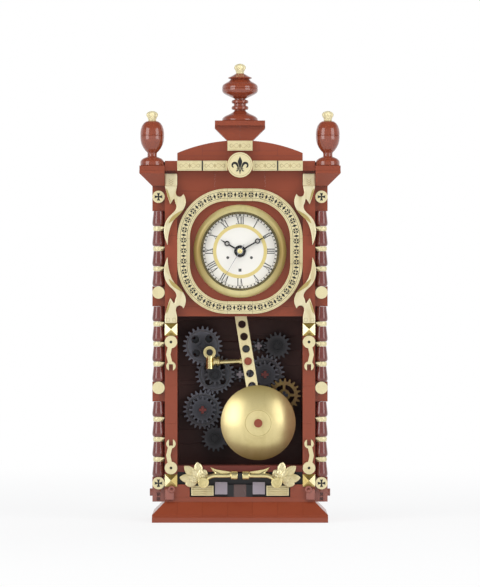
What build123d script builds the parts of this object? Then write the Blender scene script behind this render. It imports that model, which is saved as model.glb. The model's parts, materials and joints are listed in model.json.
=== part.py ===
from build123d import *
import math
import os

# Mantel clock built from interlocking bricks, with an open gear train and a pendulum.
# Frame: +Z up, the front looks along -Y, the origin is the middle of the base's underside.
# Lengths are in millimetres, angles in degrees.

# Brick grid
STUD = 8.0              # pitch of the studs, and the width of one column of bricks
PLATE = 3.2             # height of one plate, a third of a brick
SEAM = 0.06             # each brick is smaller than its cell by this much on every side
CUT = 1.0               # how far a cut runs past the face that it opens
KNOB_R = 2.4            # radius of a stud
KNOB_H = 1.7            # height of a stud

# Plan of the case, in studs
BASE_DEEP = 9
SLOPE_RUN = 1           # how far the base's slopes and the cornice lean out
CASE_WIDE = 12          # over the side walls
CASE_DEEP = 7           # from the face tiles to the back wall
STILE_WIDE = 1          # stile and side wall beside the window
PLINTH_TALL = 2.5       # from the floor plates to the top of the sill

# Heights of the case, in plates
SLOPE_TALL = 3
FOOT_TALL = 5           # column foot block
SHAFT_TALL = 15         # one run of barrels and bands
BLOCK_TALL = 4          # column block between two runs
HEAD_TALL = 5           # column block under the capital
PANEL_DROP = 24         # from the wall's top down to the top of the lintel
LINTEL_TALL = 2
FRIEZE_TALL = 4
BEAM_TALL = 2
PEDIMENT_TALL = 4
DIAL_DROP = 13          # from the wall's top down to the dial's centre

# Small features of the bricks
SLOPE_LIP = 1.6         # upright edge below a slope
SLOPE_BRICK = 2         # length of a base slope, in studs
FRIEZE_MIDDLE = 4       # length of the frieze's middle brick, in studs
ROOF_PLATE = 4          # length of a roof plate, in studs
SILL_TALL = 4.0
SILL_DEEP = 2           # studs
ORNAMENT_T = 3.0        # thickness of the flat gilt ornaments
SEAM_Z = 2.8            # first joint of the stile tiles above the sill
STILE_TILE = 3          # length of a stile tile, in studs

# Columns
BARREL_TOP_R = 3.2
BARREL_R = 4.0
BARREL_FOOT_R = 3.4
BARREL_TAPER = 2.4      # height of the widest place of a barrel
BARREL_ROUND = 1.4      # height of the rounding at a barrel's foot
BAND_R = 3.5
BAND_NECK_R = 3.1
ROUND_TILE_R = 4.0

# Dial ring, clock insert and hands
RING_WIDE = 8.0
RING_INNER_R = 24.0     # corner radius of the ring's opening
RING_ROOM = 2.3         # between the ring's straight sides and the bezel
BEZEL_WIDE = 5.2
DIAL_T = 0.8
CRYSTAL_T = 1.2
CAN_STEP = 2.7          # how far the can lies inside the bezel's edge
CAN_DEEP = 20.0
CAN_WALL = 1.6
PANEL_SLIP = 0.3        # radial room between the insert's can and the panel
MOVEMENT_ROOM = 4.2     # between the movement's corners and the can
CELL_R = 5.7
CELL_T = 5.4
SET_KNOB_R = 4.5
SET_KNOB_H = 4.0
HOUR_TUBE_R = 2.6
MINUTE_TUBE_R = 1.8
SECOND_PIN_R = 0.8
HAND_T = 0.5
HAND_AIR = 0.4
HOUR_SHORT = 10.0       # how far inside the dial's edge each hand ends
MINUTE_SHORT = 4.9
SECOND_SHORT = 7.5
HOUR_ANGLE = 300.6      # clockwise from twelve
MINUTE_ANGLE = 60.0
SECOND_ANGLE = 211.0
RUN_FIT = 0.05          # radial clearance of everything that turns in a hole

# Gear train
MODULE = 1.0
MESH_SLACK = 0.15       # added to each centre distance
ADDENDUM = 0.9
DEDENDUM = 1.15
TOOTH_SLIM = 0.84       # share of the half pitch that a tooth fills at the pitch circle
GEAR_T = 4.0
LAYER_GAP = 2.0
ARBOR_R = 2.4
AXLE_R = 2.35
AXLE_ARM = 1.7
AXLE_PLAY = 0.05
ARBOR_TIP = 0.8         # how far an axle stands out of its front gear
BUSH_R = 3.1            # clears the tips of a meshing wheel
WALL_AIR = 0.3          # axial play beside a turning piece
TRAIN_RISE = 9.8        # height of the train's middle arbor over the window's middle
TRAIN_ROOM = 2.95       # between the outer wheels and the side walls
ESCAPE_ROOM = 0.57      # between the escape wheel and the side wall
TOP_TURN = 113.4        # angle at the upper wheel between its two neighbours
CRANK_THROW = 6.1
CRANK_ANGLE = -41.8
CRANK_PIN_R = 2.0
EYE_R = 4.0
EYE_T = 4.0
LINK_R = 1.5
LINK_DROP = 6.6
LINK_FLANGE_R = 2.5

# Pendulum
PIVOT_RISE = 2.7        # height of the pivot over the lintel's underside
REST_TILT = 9.3         # swing of the pendulum at rest, bob to the right
ROD_WIDE = 7.6
ROD_T = 7.4
ROD_HOLE_R = 2.4
BOB_ROOM = 16.0         # left for the bob's swing on each side of the window
BOB_T = 9.0
BOB_SHELL = 1.4
BOB_DISC_R = 9.0
BOB_GAP = 1.9           # under the bob when it hangs straight
LINK_HOLE = 4           # holes counted from the pivot
BOB_AIR = 0.6


# Levels and depths worked out from the grid
def studs(count):
    """Length of a number of studs."""
    return count * STUD


def plates(count):
    """Height of a number of plates."""
    return count * PLATE


BRICK = plates(3)
Z_BASE = plates(1)
Z_SLOPE = Z_BASE + plates(SLOPE_TALL)
Z_FLOOR = Z_SLOPE + plates(1)
Z_SILL = Z_FLOOR + studs(PLINTH_TALL)
Z_SHAFTS = [Z_SLOPE + plates(FOOT_TALL)]
for _ in range(2):
    Z_SHAFTS.append(Z_SHAFTS[-1] + plates(SHAFT_TALL + BLOCK_TALL))
Z_HEAD = Z_SHAFTS[-1] + plates(SHAFT_TALL)
Z_WALL = Z_HEAD + plates(HEAD_TALL)
Z_PANEL = Z_WALL - plates(PANEL_DROP)
Z_LINTEL = Z_PANEL - plates(LINTEL_TALL)
Z_DIAL = Z_WALL - plates(DIAL_DROP)
Z_BEAM = Z_WALL + plates(SLOPE_TALL)
Z_FRIEZE = Z_BEAM - plates(FRIEZE_TALL)
Z_PEDIMENT = Z_BEAM + plates(BEAM_TALL)
Z_PEDESTAL = Z_PEDIMENT + plates(PEDIMENT_TALL)
Z_TOP_PLATE = Z_PEDESTAL + plates(SLOPE_TALL)
Z_FINIAL = Z_TOP_PLATE + plates(1)
Z_SIDE_FINIAL = Z_BEAM + plates(1)

X_CASE = studs(CASE_WIDE) / 2
X_WINDOW = X_CASE - studs(STILE_WIDE)
X_COLUMN = X_CASE + STUD / 2
X_BASE = X_CASE + STUD
X_STILE = (X_WINDOW + X_CASE) / 2
Y_BASE = studs(BASE_DEEP) / 2
Y_FACE = -studs(CASE_DEEP) / 2
Y_CORE = Y_FACE + PLATE
Y_WALL = Y_FACE + STUD
Y_REAR = studs(CASE_DEEP) / 2
Y_BACK_WALL = Y_REAR - STUD
Y_COLUMN = Y_FACE + STUD / 2
Y_OVERHANG = Y_FACE - studs(SLOPE_RUN)

BEZEL_R = X_WINDOW - RING_WIDE - RING_ROOM
DIAL_R = BEZEL_R - BEZEL_WIDE
CAN_R = BEZEL_R - CAN_STEP
MOVEMENT_WIDE = math.sqrt(2) * (CAN_R - CAN_WALL - MOVEMENT_ROOM)
HOUR_LENGTH = DIAL_R - HOUR_SHORT
MINUTE_LENGTH = DIAL_R - MINUTE_SHORT
SECOND_LENGTH = DIAL_R - SECOND_SHORT
BOB_R = X_WINDOW - BOB_ROOM


# Building helpers
def block(x0, x1, y0, y1, z0, z1):
    """Box between two corners, whichever way round they are given."""
    size = (abs(x1 - x0), abs(y1 - y0), abs(z1 - z0))
    return Pos((x0 + x1) / 2, (y0 + y1) / 2, (z0 + z1) / 2) * Box(*size)


def brick(x0, x1, y0, y1, z0, z1):
    """Box of one brick: its cell of the grid less the seam on every side."""
    low = [min(a, b) + SEAM for a, b in ((x0, x1), (y0, y1), (z0, z1))]
    high = [max(a, b) - SEAM for a, b in ((x0, x1), (y0, y1), (z0, z1))]
    return block(low[0], high[0], low[1], high[1], low[2], high[2])


def run(start, lengths):
    """Start and end of each piece in a run of pieces laid end to end."""
    spans = []
    for length in lengths:
        spans.append((start, start + length))
        start += length
    return spans


def share(length, about):
    """Equal pieces that fill a length, each about as long as asked."""
    count = max(1, round(length / about))
    return [length / count] * count


def facing(sketch, y_back, y_front):
    """Extrude a front-view sketch (x, z) from y_back forward to y_front."""
    plane = Plane(origin=(0, y_back, 0), x_dir=(1, 0, 0), z_dir=(0, -1, 0))
    return extrude(plane * sketch, amount=y_back - y_front)


def outline(points):
    """Closed straight-sided sketch."""
    return make_face(Polyline(*points, close=True))


def turned(points):
    """Turn a closed profile (radius, height) about the vertical axis."""
    return revolve(Plane.XZ * outline(points), Axis.Z)


def turned_edges(edges):
    """Turn a closed profile of lines and arcs (radius, height) about the vertical axis."""
    return revolve(Plane.XZ * make_face(edges), Axis.Z)


def dished(edges, x, z):
    """Turn a closed profile (radius, depth) about a front-to-back axis through (x, z)."""
    return Pos(x, 0, z) * revolve(make_face(edges), Axis.Y)


def rod_y(x, z, radius, y0, y1):
    """Round bar along the depth."""
    return facing(Pos(x, z) * Circle(radius), max(y0, y1), min(y0, y1))


def both_sides(pieces):
    """The given pieces and their mirror images on the other side of the clock."""
    return list(pieces) + [mirror(piece, Plane.YZ) for piece in pieces]


PARTS = {}


def keep(name, *pieces):
    """Collect the separate solids of one named sub-part."""
    solids = []
    for piece in pieces:
        items = piece if isinstance(piece, (list, tuple)) else [piece]
        for item in items:
            solids.extend(item.solids())
    PARTS.setdefault(name, []).extend(solids)


# Base
def base_slopes():
    """Ring of 45 degree slope bricks round a core of plain bricks."""
    rim = Pos(0, 0, Z_BASE) * Rectangle(2 * X_BASE, 2 * Y_BASE)
    lip = extrude(rim, amount=SLOPE_LIP)
    rise = plates(SLOPE_TALL) - SLOPE_LIP
    run_out = studs(SLOPE_RUN)
    lean = math.degrees(math.atan2(run_out, rise))
    hill = lip + extrude(Pos(0, 0, SLOPE_LIP) * rim, amount=rise, taper=lean)
    cells = []
    deep = studs(SLOPE_RUN + 1)
    lengths = [deep, *share(2 * (X_BASE - deep), studs(SLOPE_BRICK)), deep]
    for x0, x1 in run(-X_BASE, lengths):
        cells.append((x0, x1, -Y_BASE, -Y_BASE + deep))
        cells.append((x0, x1, Y_BASE - deep, Y_BASE))
    side = BASE_DEEP - 2 * (SLOPE_RUN + 1)
    for y0, y1 in run(-Y_BASE + deep, [studs(side // 2), studs(side - side // 2)]):
        cells.append((-X_BASE, -X_BASE + deep, y0, y1))
        cells.append((X_BASE - deep, X_BASE, y0, y1))
    for x0, x1 in run(-X_BASE + deep, lengths[1:-1]):
        cells.append((x0, x1, -Y_BASE + deep, Y_BASE - deep))
    return [hill & brick(x0, x1, y0, y1, Z_BASE, Z_SLOPE) for x0, x1, y0, y1 in cells]


def base():
    keep("base_plate", block(-X_BASE, X_BASE, -Y_BASE, Y_BASE, 0, Z_BASE))
    keep("base_slopes", base_slopes())


# Plinth
GRILLE_RIM = 0.85       # dark border round a grille tile
GRILLE_BARS = 5
GRILLE_DEEP = 1.0
PALE_TILE_RISE = 1.6
CHEEK_STUD_Z = 6.0      # side stud above the underside of the column foot
SOCKET_WIDE = 2.2       # square socket in the front of the column foot
SOCKET_DEEP = 2.0
SOCKET_Z = (1.9, 4.9)   # centres of the two sockets above the foot's underside


def grille_tile(x0, x1, z0, z1):
    """Tile with level slots along its face."""
    tile = block(x0 + GRILLE_RIM, x1 - GRILLE_RIM, Y_CORE, Y_FACE, z0 + GRILLE_RIM, z1 - GRILLE_RIM)
    pitch = (z1 - z0 - 2 * GRILLE_RIM) / (GRILLE_BARS + GRILLE_BARS - 1)
    for index in range(GRILLE_BARS - 1):
        low = z0 + GRILLE_RIM + (2 * index + 1) * pitch
        tile -= block(x0 + 2 * GRILLE_RIM, x1 - 2 * GRILLE_RIM, Y_FACE - CUT, Y_FACE + GRILLE_DEEP,
                      low, low + pitch)
    return tile


def plinth():
    """Floor plates, the row of face tiles over them and the dark core behind."""
    thirds = [studs(CASE_WIDE / 3)] * 3
    z_row = Z_FLOOR + STUD
    x_grille = studs(2)
    x_brown = X_WINDOW - STUD
    for x0, x1 in run(-X_CASE, thirds):
        keep("plinth_bricks", brick(x0, x1, Y_FACE, Y_REAR, Z_SLOPE, Z_FLOOR))
    ends = [brick(x_brown, X_CASE, Y_FACE, Y_WALL, Z_FLOOR, z_row)]
    keep("plinth_bricks", both_sides(ends))
    keep("plinth_core", brick(-x_brown, x_brown, Y_CORE, Y_WALL, Z_FLOOR, z_row))
    keep("plinth_core", brick(-X_WINDOW, X_WINDOW, Y_CORE, Y_WALL, z_row, Z_SILL - SILL_TALL))
    keep("plinth_core", both_sides([brick(STUD / 2, STUD, Y_FACE, Y_CORE, Z_FLOOR, z_row)]))
    keep("plinth_bricks", brick(-STUD / 2, STUD / 2, Y_FACE, Y_CORE, Z_FLOOR, z_row))
    keep("grille_tiles", both_sides([grille_tile(x_grille, x_brown, Z_FLOOR, z_row)]))
    pale = brick(STUD, x_grille, Y_FACE, Y_CORE, Z_FLOOR + PALE_TILE_RISE, z_row + PALE_TILE_RISE)
    keep("pale_tiles", both_sides([pale]))


# Walls, stiles and rails
BACK_ROWS = (1, 3, 3, 3, 3, 3, 3, 3, 1)   # plates in each row up to the middle of the window
HATCH_WIDE = 8                            # rear access opening, in studs
HATCH_ROWS = (1, 1)                       # whole rows kept below and above the opening


def side_wall(sign):
    """Running bond of bricks between the stile and the back."""
    pieces = []
    half_bond = [[2, 4], [4, 2]]
    z = Z_FLOOR
    row = 0
    while z < Z_WALL - SEAM:
        top = min(z + BRICK, Z_WALL)
        split = half_bond[row % 2]
        total = Y_REAR - Y_WALL
        for y0, y1 in run(Y_WALL, [total * part / sum(split) for part in split]):
            pieces.append(brick(sign * X_WINDOW, sign * X_CASE, y0, y1, z, top))
        z = top
        row += 1
    return pieces


def back_rows():
    """Start and end height of every row of the back wall."""
    rows = run(Z_FLOOR, [plates(count) for count in BACK_ROWS])
    z = rows[-1][1]
    while z < Z_WALL - SEAM:
        rows.append((z, min(z + BRICK, Z_WALL)))
        z = rows[-1][1]
    return rows


def back_wall(bores):
    """Full-width rows, open behind the clock insert and bored for the arbors."""
    x_hatch = studs(HATCH_WIDE) / 2
    upper = [span for span in back_rows() if span[0] > Z_PANEL - SEAM]
    hatch = upper[HATCH_ROWS[0]:len(upper) - HATCH_ROWS[1]]
    pieces = []
    for z0, z1 in back_rows():
        if (z0, z1) in hatch:
            side = brick(x_hatch, X_WINDOW, Y_BACK_WALL, Y_REAR, z0, z1)
            pieces.extend(both_sides([side]))
            continue
        row = brick(-X_WINDOW, X_WINDOW, Y_BACK_WALL, Y_REAR, z0, z1)
        for x, z in bores:
            if z0 - ARBOR_R < z + ARBOR_R and z - ARBOR_R < z1 + ARBOR_R:
                row -= rod_y(x, z, ARBOR_R + RUN_FIT, Y_BACK_WALL - CUT, Y_REAR + CUT)
        pieces.append(row)
    return pieces


def stiles():
    """Uprights at both sides of the window, faced with long tiles."""
    foot = Z_FLOOR + STUD
    pieces = [brick(X_WINDOW, X_CASE, Y_CORE, Y_WALL, foot, Z_BEAM)]
    z = foot
    joint = Z_SILL + SEAM_Z
    while z < Z_WALL - SEAM:
        top = min(joint, Z_WALL)
        pieces.append(brick(X_WINDOW, X_CASE, Y_FACE, Y_CORE, z, top))
        z = top
        joint += studs(STILE_TILE)
    return both_sides(pieces)


def rails():
    """Sill, lintel and frieze between the stiles."""
    y_sill = Y_FACE + studs(SILL_DEEP)
    keep("rails", brick(-X_WINDOW, X_WINDOW, Y_FACE, y_sill, Z_SILL - SILL_TALL, Z_SILL))
    keep("rails", brick(-X_WINDOW, X_WINDOW, Y_CORE, Y_WALL, Z_LINTEL, Z_PANEL))
    side = X_WINDOW - studs(FRIEZE_MIDDLE) / 2
    for x0, x1 in run(-X_WINDOW, [side, studs(FRIEZE_MIDDLE), side]):
        keep("rails", brick(x0, x1, Y_CORE, Y_WALL, Z_FRIEZE, Z_BEAM))


def walls(bores):
    keep("left_side_wall", side_wall(-1))
    keep("right_side_wall", side_wall(1))
    keep("back_wall", back_wall(bores))
    keep("stiles", stiles())
    rails()
    panel = brick(-X_WINDOW, X_WINDOW, Y_CORE, Y_WALL, Z_PANEL, Z_FRIEZE)
    keep("dial_panel", panel - rod_y(0, Z_DIAL, CAN_R + PANEL_SLIP, Y_WALL + CUT, Y_CORE - CUT))


# Columns
BANDS = 3               # bands in one run, with a barrel below, between and above them
BAND_EDGE = 0.9         # height of the slanted edges of a band
HEAD_TILE_DROP = 6.9    # centre of the head block's tile under the wall's top


def siding(sketch, x0, x1):
    """Extrude a side-view sketch (y, z) from x0 to x1."""
    plane = Plane(origin=(min(x0, x1), 0, 0), x_dir=(0, 1, 0), z_dir=(1, 0, 0))
    return extrude(plane * sketch, amount=abs(x1 - x0))


def barrel(z0, z1):
    """Turned barrel of a column: rounded foot, long taper to the top."""
    low, high = z0 + SEAM, z1 - SEAM
    foot_mid = ((BARREL_FOOT_R + 2 * BARREL_R) / 3, low + BARREL_ROUND / 2)
    edges = [
        Line((0, low), (BARREL_FOOT_R, low)),
        ThreePointArc((BARREL_FOOT_R, low), foot_mid, (BARREL_R, low + BARREL_ROUND)),
        Line((BARREL_R, low + BARREL_ROUND), (BARREL_R, low + BARREL_TAPER)),
        Line((BARREL_R, low + BARREL_TAPER), (BARREL_TOP_R, high)),
        Line((BARREL_TOP_R, high), (0, high)),
        Line((0, high), (0, low)),
    ]
    return Pos(X_COLUMN, Y_COLUMN, 0) * turned_edges(edges)


def band(z0, z1):
    """Gilt band between two barrels."""
    low, high = z0 + SEAM, z1 - SEAM
    points = [(0, low), (BAND_NECK_R, low), (BAND_R, low + BAND_EDGE), (BAND_R, high - BAND_EDGE),
              (BAND_NECK_R, high), (0, high)]
    return Pos(X_COLUMN, Y_COLUMN, 0) * turned(points)


def foot_block(z0, z1):
    """Column foot with two square sockets in front and a stud at its side."""
    foot = brick(X_CASE, X_CASE + STUD, Y_CORE, Y_CORE + STUD, z0, z1)
    for rise in SOCKET_Z:
        z = z0 + rise
        foot -= block(X_COLUMN - SOCKET_WIDE / 2, X_COLUMN + SOCKET_WIDE / 2, Y_CORE - CUT,
                      Y_CORE + SOCKET_DEEP, z - SOCKET_WIDE / 2, z + SOCKET_WIDE / 2)
    plane = Plane(origin=(X_CASE + STUD - 2 * SEAM, Y_CORE + STUD / 2, z0 + CHEEK_STUD_Z),
                  x_dir=(0, 1, 0), z_dir=(1, 0, 0))
    return foot + extrude(plane * Circle(KNOB_R), amount=KNOB_H + SEAM)


def columns():
    """Blocks, barrels, bands and round tiles of both columns."""
    blocks = [foot_block(Z_SLOPE, Z_SHAFTS[0])]
    tiles = [Z_SHAFTS[0] - ROUND_TILE_R]
    for z in Z_SHAFTS[1:]:
        blocks.append(brick(X_CASE, X_CASE + STUD, Y_CORE, Y_CORE + STUD, z - plates(BLOCK_TALL), z))
        tiles.append(z - ROUND_TILE_R)
    blocks.append(brick(X_CASE, X_CASE + STUD, Y_CORE, Y_CORE + STUD, Z_HEAD, Z_WALL))
    tiles.append(Z_WALL - HEAD_TILE_DROP)
    keep("column_blocks", both_sides(blocks))
    keep("round_tiles", both_sides([
        rod_y(X_COLUMN, z, ROUND_TILE_R - SEAM, Y_CORE, Y_FACE) for z in tiles]))
    barrels = []
    bands = []
    tall = (plates(SHAFT_TALL) - BANDS * PLATE) / (BANDS + 1)
    heights = [tall] + [PLATE, tall] * BANDS
    for z in Z_SHAFTS:
        for index, (z0, z1) in enumerate(run(z, heights)):
            if index % 2:
                bands.append(band(z0, z1))
            else:
                barrels.append(barrel(z0, z1))
    keep("column_barrels", both_sides(barrels))
    keep("column_bands", both_sides(bands))


# Cornice, roof and pediment
PEDIMENT_EDGE = 5.0     # height of the pediment at its ends
SHIELD_R = 8.0
SHIELD_RISE = 3.6       # centre of the shield over the beam's underside
Y_BEAM = Y_OVERHANG + 2 * PLATE
PEDESTAL_WIDE = 2       # studs, at the foot
TOP_PLATE_DEEP = 3      # studs
X_PEDESTAL = studs(PEDESTAL_WIDE) / 2
Y_PEDESTAL = Y_FACE + STUD


def flare(x_in, x_foot, x_top, z0, z1):
    """Front-view outline of an inverted slope brick with an upright lip."""
    return outline([(x_in, z0), (x_foot, z0), (x_top, z1 - SLOPE_LIP), (x_top, z1), (x_in, z1)])


def capital():
    """Inverted corner slope on a column head, and the plate that carries the side finial."""
    x_foot, x_top = X_CASE + STUD, X_CASE + STUD + studs(SLOPE_RUN)
    front = facing(flare(X_CASE + SEAM, x_foot, x_top, Z_WALL + SEAM, Z_BEAM - SEAM), Y_WALL, Y_OVERHANG)
    side = siding(flare(Y_WALL - SEAM, Y_FACE, Y_OVERHANG, Z_WALL + SEAM, Z_BEAM - SEAM), X_CASE, x_top)
    return [front & side, brick(X_CASE, x_top, Y_OVERHANG, Y_WALL, Z_BEAM, Z_SIDE_FINIAL)]


def side_cornice():
    """Inverted slopes along the top of a side wall."""
    x_top = X_CASE + studs(SLOPE_RUN)
    profile = flare(X_WINDOW + SEAM, X_CASE, x_top, Z_WALL + SEAM, Z_BEAM - SEAM)
    third = (Y_REAR - Y_WALL) / 3
    return [facing(profile, y1 - SEAM, y0 + SEAM) for y0, y1 in run(Y_WALL, [third] * 3)]


def studded(x0, x1, y0, y1, z0, z1, covered):
    """Plate with studs on every cell of its top that nothing covers."""
    plate = brick(x0, x1, y0, y1, z0, z1)
    for column in range(round((x1 - x0) / STUD)):
        for row in range(round((y1 - y0) / STUD)):
            x = x0 + studs(column + 0.5)
            y = y0 + studs(row + 0.5)
            if not covered(x, y):
                plate += Pos(x, y, z1 - SEAM + KNOB_H / 2) * Cylinder(KNOB_R, KNOB_H)
    return plate


def roof():
    """Two layers of plates behind the cornice beam, the upper one with bare studs."""
    x_eave = X_CASE + studs(SLOPE_RUN)
    inner = studs(ROOF_PLATE)
    outer = x_eave - inner
    for x0, x1 in run(-x_eave, [outer, inner, inner, outer]):
        keep("roof_plates", brick(x0, x1, Y_WALL, Y_REAR, Z_BEAM, Z_SIDE_FINIAL))
    y_end = Y_REAR - STUD

    def under_pedestal(x, y):
        return abs(x) < X_PEDESTAL and y < Y_FACE + studs(PEDESTAL_WIDE)

    for x0, x1 in run(-X_WINDOW, [X_WINDOW, X_WINDOW]):
        keep("roof_plates",
             studded(x0, x1, Y_WALL, y_end, Z_SIDE_FINIAL, Z_PEDIMENT, under_pedestal))


def pediment_wing():
    """Curved half of the pediment, standing on a plain plate."""
    z_plate = Z_PEDIMENT + PLATE
    z_edge = Z_PEDIMENT + PEDIMENT_EDGE
    rise = Z_PEDESTAL - z_edge
    drop = (X_WINDOW ** 2 - X_PEDESTAL ** 2 - rise ** 2) / (2 * rise)
    radius = math.hypot(X_WINDOW, drop)
    x_mid = (X_PEDESTAL + X_WINDOW) / 2
    z_mid = z_edge - drop + math.sqrt(radius ** 2 - x_mid ** 2)
    x_in, x_out = X_PEDESTAL + SEAM, X_WINDOW - SEAM
    edges = [
        Line((x_in, z_plate + SEAM), (x_out, z_plate + SEAM)),
        Line((x_out, z_plate + SEAM), (x_out, z_edge)),
        ThreePointArc((x_out, z_edge), (x_mid, z_mid), (x_in, Z_PEDESTAL)),
        Line((x_in, Z_PEDESTAL), (x_in, z_plate + SEAM)),
    ]
    plate = brick(X_PEDESTAL, X_WINDOW, Y_FACE, Y_WALL, Z_PEDIMENT, z_plate)
    return [plate, facing(make_face(edges), Y_WALL, Y_FACE)]


def pediment():
    """Curved wings, centre block and the spreading pedestal on top."""
    y_back = Y_FACE + studs(PEDESTAL_WIDE)
    keep("pediment", both_sides(pediment_wing()))
    keep("pediment", brick(-X_PEDESTAL, X_PEDESTAL, Y_FACE, y_back, Z_PEDIMENT, Z_PEDESTAL))
    x_top = X_PEDESTAL + studs(SLOPE_RUN)
    half = facing(flare(SEAM, X_PEDESTAL, x_top, Z_PEDESTAL + SEAM, Z_TOP_PLATE - SEAM), y_back, Y_FACE)
    y_front = Y_PEDESTAL - studs(TOP_PLATE_DEEP) / 2
    plate = brick(0, x_top, y_front, y_front + studs(TOP_PLATE_DEEP), Z_TOP_PLATE, Z_FINIAL)
    keep("pediment", both_sides([half, plate]))


def cornice():
    """Capitals, side cornices, the beam between them and its gilt tiles."""
    keep("cornice", both_sides(capital() + side_cornice()))
    keep("cornice", brick(-X_CASE, X_CASE, Y_BEAM, Y_WALL, Z_BEAM, Z_PEDIMENT))
    keep("cornice", brick(-X_PEDESTAL, X_PEDESTAL, Y_BEAM - PLATE, Y_BEAM, Z_BEAM, Z_PEDIMENT))
    half = (X_WINDOW - X_PEDESTAL) / 2
    for x0, x1 in run(X_PEDESTAL, [half, half]):
        tile = brick(x0, x1, Y_BEAM - PLATE, Y_BEAM, Z_BEAM, Z_PEDIMENT)
        keep("cornice_tiles", both_sides([tile]))
    keep("cornice_tiles", brick(-X_PEDESTAL, X_PEDESTAL, Y_FACE - PLATE, Y_FACE,
                                Z_PEDESTAL - plates(2), Z_PEDESTAL))
    keep("cornice_tiles", rod_y(0, Z_BEAM + SHIELD_RISE, SHIELD_R, Y_BEAM - PLATE, Y_OVERHANG))


# Finials: foot height and radius, top height and radius, bulge of each turning
CENTRE_FINIAL = (
    (0.0, 11.6, 6.3, 3.0, 0.22),
    (6.3, 3.6, 7.5, 3.6, 0.0),
    (7.5, 5.3, 9.5, 5.3, 0.2),
    (9.5, 3.6, 11.2, 3.6, 0.0),
    (11.2, 5.3, 13.2, 5.3, 0.2),
    (13.2, 3.6, 14.5, 3.6, 0.0),
    (14.5, 3.6, 21.2, 11.6, 0.22),
    (21.2, 11.6, 26.7, 5.9, 0.2),
    (26.7, 7.7, 30.1, 3.0, 0.12),
)
SIDE_FINIAL = (
    (0.0, 7.8, 6.2, 2.8, 0.17),
    (6.2, 2.9, 8.5, 2.9, 0.0),
    (8.5, 3.2, 19.3, 7.6, 0.11),
    (19.3, 7.6, 28.4, 3.4, 0.16),
)
CROWN_H = 6.9
CROWN_R = 3.6
CROWN_FOOT_R = 2.4
CROWN_LOBE_R = 1.7
CROWN_LOBES = 6


def turning(foot_z, foot_r, top_z, top_r, bulge):
    """One turned length of a finial, with a straight or bulging side."""
    low, high = foot_z + SEAM, top_z - SEAM
    length = math.hypot(top_r - foot_r, high - low)
    side_r = (foot_r + top_r) / 2 + bulge * (high - low)
    side_z = (low + high) / 2 - bulge * (top_r - foot_r)
    if bulge * length > SEAM:
        side = ThreePointArc((foot_r, low), (side_r, side_z), (top_r, high))
    else:
        side = Line((foot_r, low), (top_r, high))
    floor = Line((0, low), (foot_r, low))
    top = Line((top_r, high), (0, high))
    return turned_edges([floor, side, top, Line((0, high), (0, low))])


def crown(z):
    """Gilt knob with a ring of lobes."""
    knob = Pos(0, 0, z) * turning(0, CROWN_FOOT_R, CROWN_H, CROWN_FOOT_R / 2, 0.0)
    lobe_z = z + CROWN_H - CROWN_R - CROWN_LOBE_R / 2
    for index in range(CROWN_LOBES):
        angle = 2 * math.pi * index / CROWN_LOBES
        reach = CROWN_R - CROWN_LOBE_R
        knob += Pos(reach * math.cos(angle), reach * math.sin(angle), lobe_z) * Sphere(CROWN_LOBE_R)
    return knob


def finials():
    """Turned finials on the pedestal and on both capitals."""
    middle = Pos(0, Y_PEDESTAL, Z_FINIAL)
    side = Pos(X_CASE + STUD, Y_FACE, Z_SIDE_FINIAL)
    keep("finials", [middle * turning(*length) for length in CENTRE_FINIAL])
    keep("finials", both_sides([side * turning(*length) for length in SIDE_FINIAL]))
    keep("finial_crowns", middle * crown(CENTRE_FINIAL[-1][2]))
    keep("finial_crowns", both_sides([side * crown(SIDE_FINIAL[-1][2])]))


# Stile ornaments, drawn for the right side: out from the stile's middle, up from the dial's centre
SCROLL_TIP = (-7.8, 36.7)
SCROLL_INNER = (
    (-9.1, 34.1), (-9.5, 31.2), (-8.3, 27.2), (-5.6, 23.5), (-2.3, 20.3), (0.1, 15.8), (1.5, 10.5),
)
SCROLL_TAIL = (2.1, 3.6)
SCROLL_OUTER = (
    (3.6, 7.3), (4.5, 12.1), (4.0, 17.0), (1.4, 21.9), (-1.9, 25.1), (-3.5, 28.0), (-2.8, 30.4),
)
SCROLL_HOOK = ((-2.1, 33.7), (-3.2, 37.3))
SCROLL_NOTCH = (-5.8, 34.7)
TIP_EDGE = ((-3.2, 38.2), (-1.4, 32.6), (0.5, 29.8), (2.3, 35.2))
ORNATE_TALL = 4.3       # lower ornate tile
PYRAMID_EDGE = 0.9      # upright edge of a pyramid tile
LOWER_STACK = 6.6       # underside of the lower pyramid tile over the floor plates
SPANNER_R = 4.0
SPANNER_HOLE_R = 0.9
SPANNER_LENGTH = 15.4
SPANNER_WIDE = 2.7
SPANNER_KNEE = (1.7, 8.0)
JAW_R = 3.0
JAW_GAP = 2.6
JAW_DEEP = 1.2


def scroll():
    """Flame-shaped scroll beside the upper half of the dial ring."""
    inner = [SCROLL_TIP, *SCROLL_INNER, SCROLL_TAIL]
    outer = [SCROLL_TAIL, *SCROLL_OUTER]
    edges = [
        Spline(*inner),
        Spline(*outer),
        Line(SCROLL_OUTER[-1], SCROLL_HOOK[0]),
        Line(*SCROLL_HOOK),
        ThreePointArc(SCROLL_HOOK[1], SCROLL_NOTCH, SCROLL_TIP),
    ]
    return facing(Pos(X_STILE, Z_DIAL) * make_face(edges), Y_FACE, Y_FACE - ORNAMENT_T)


def scroll_tip():
    """Pointed drop that hangs from the ornate tile over the scroll."""
    top = Z_WALL - Z_DIAL
    half = STUD / 2 - SEAM
    points = [(half, top), (-half, top), *TIP_EDGE]
    return facing(Pos(X_STILE, Z_DIAL) * outline(points), Y_FACE, Y_FACE - ORNAMENT_T)


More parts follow.
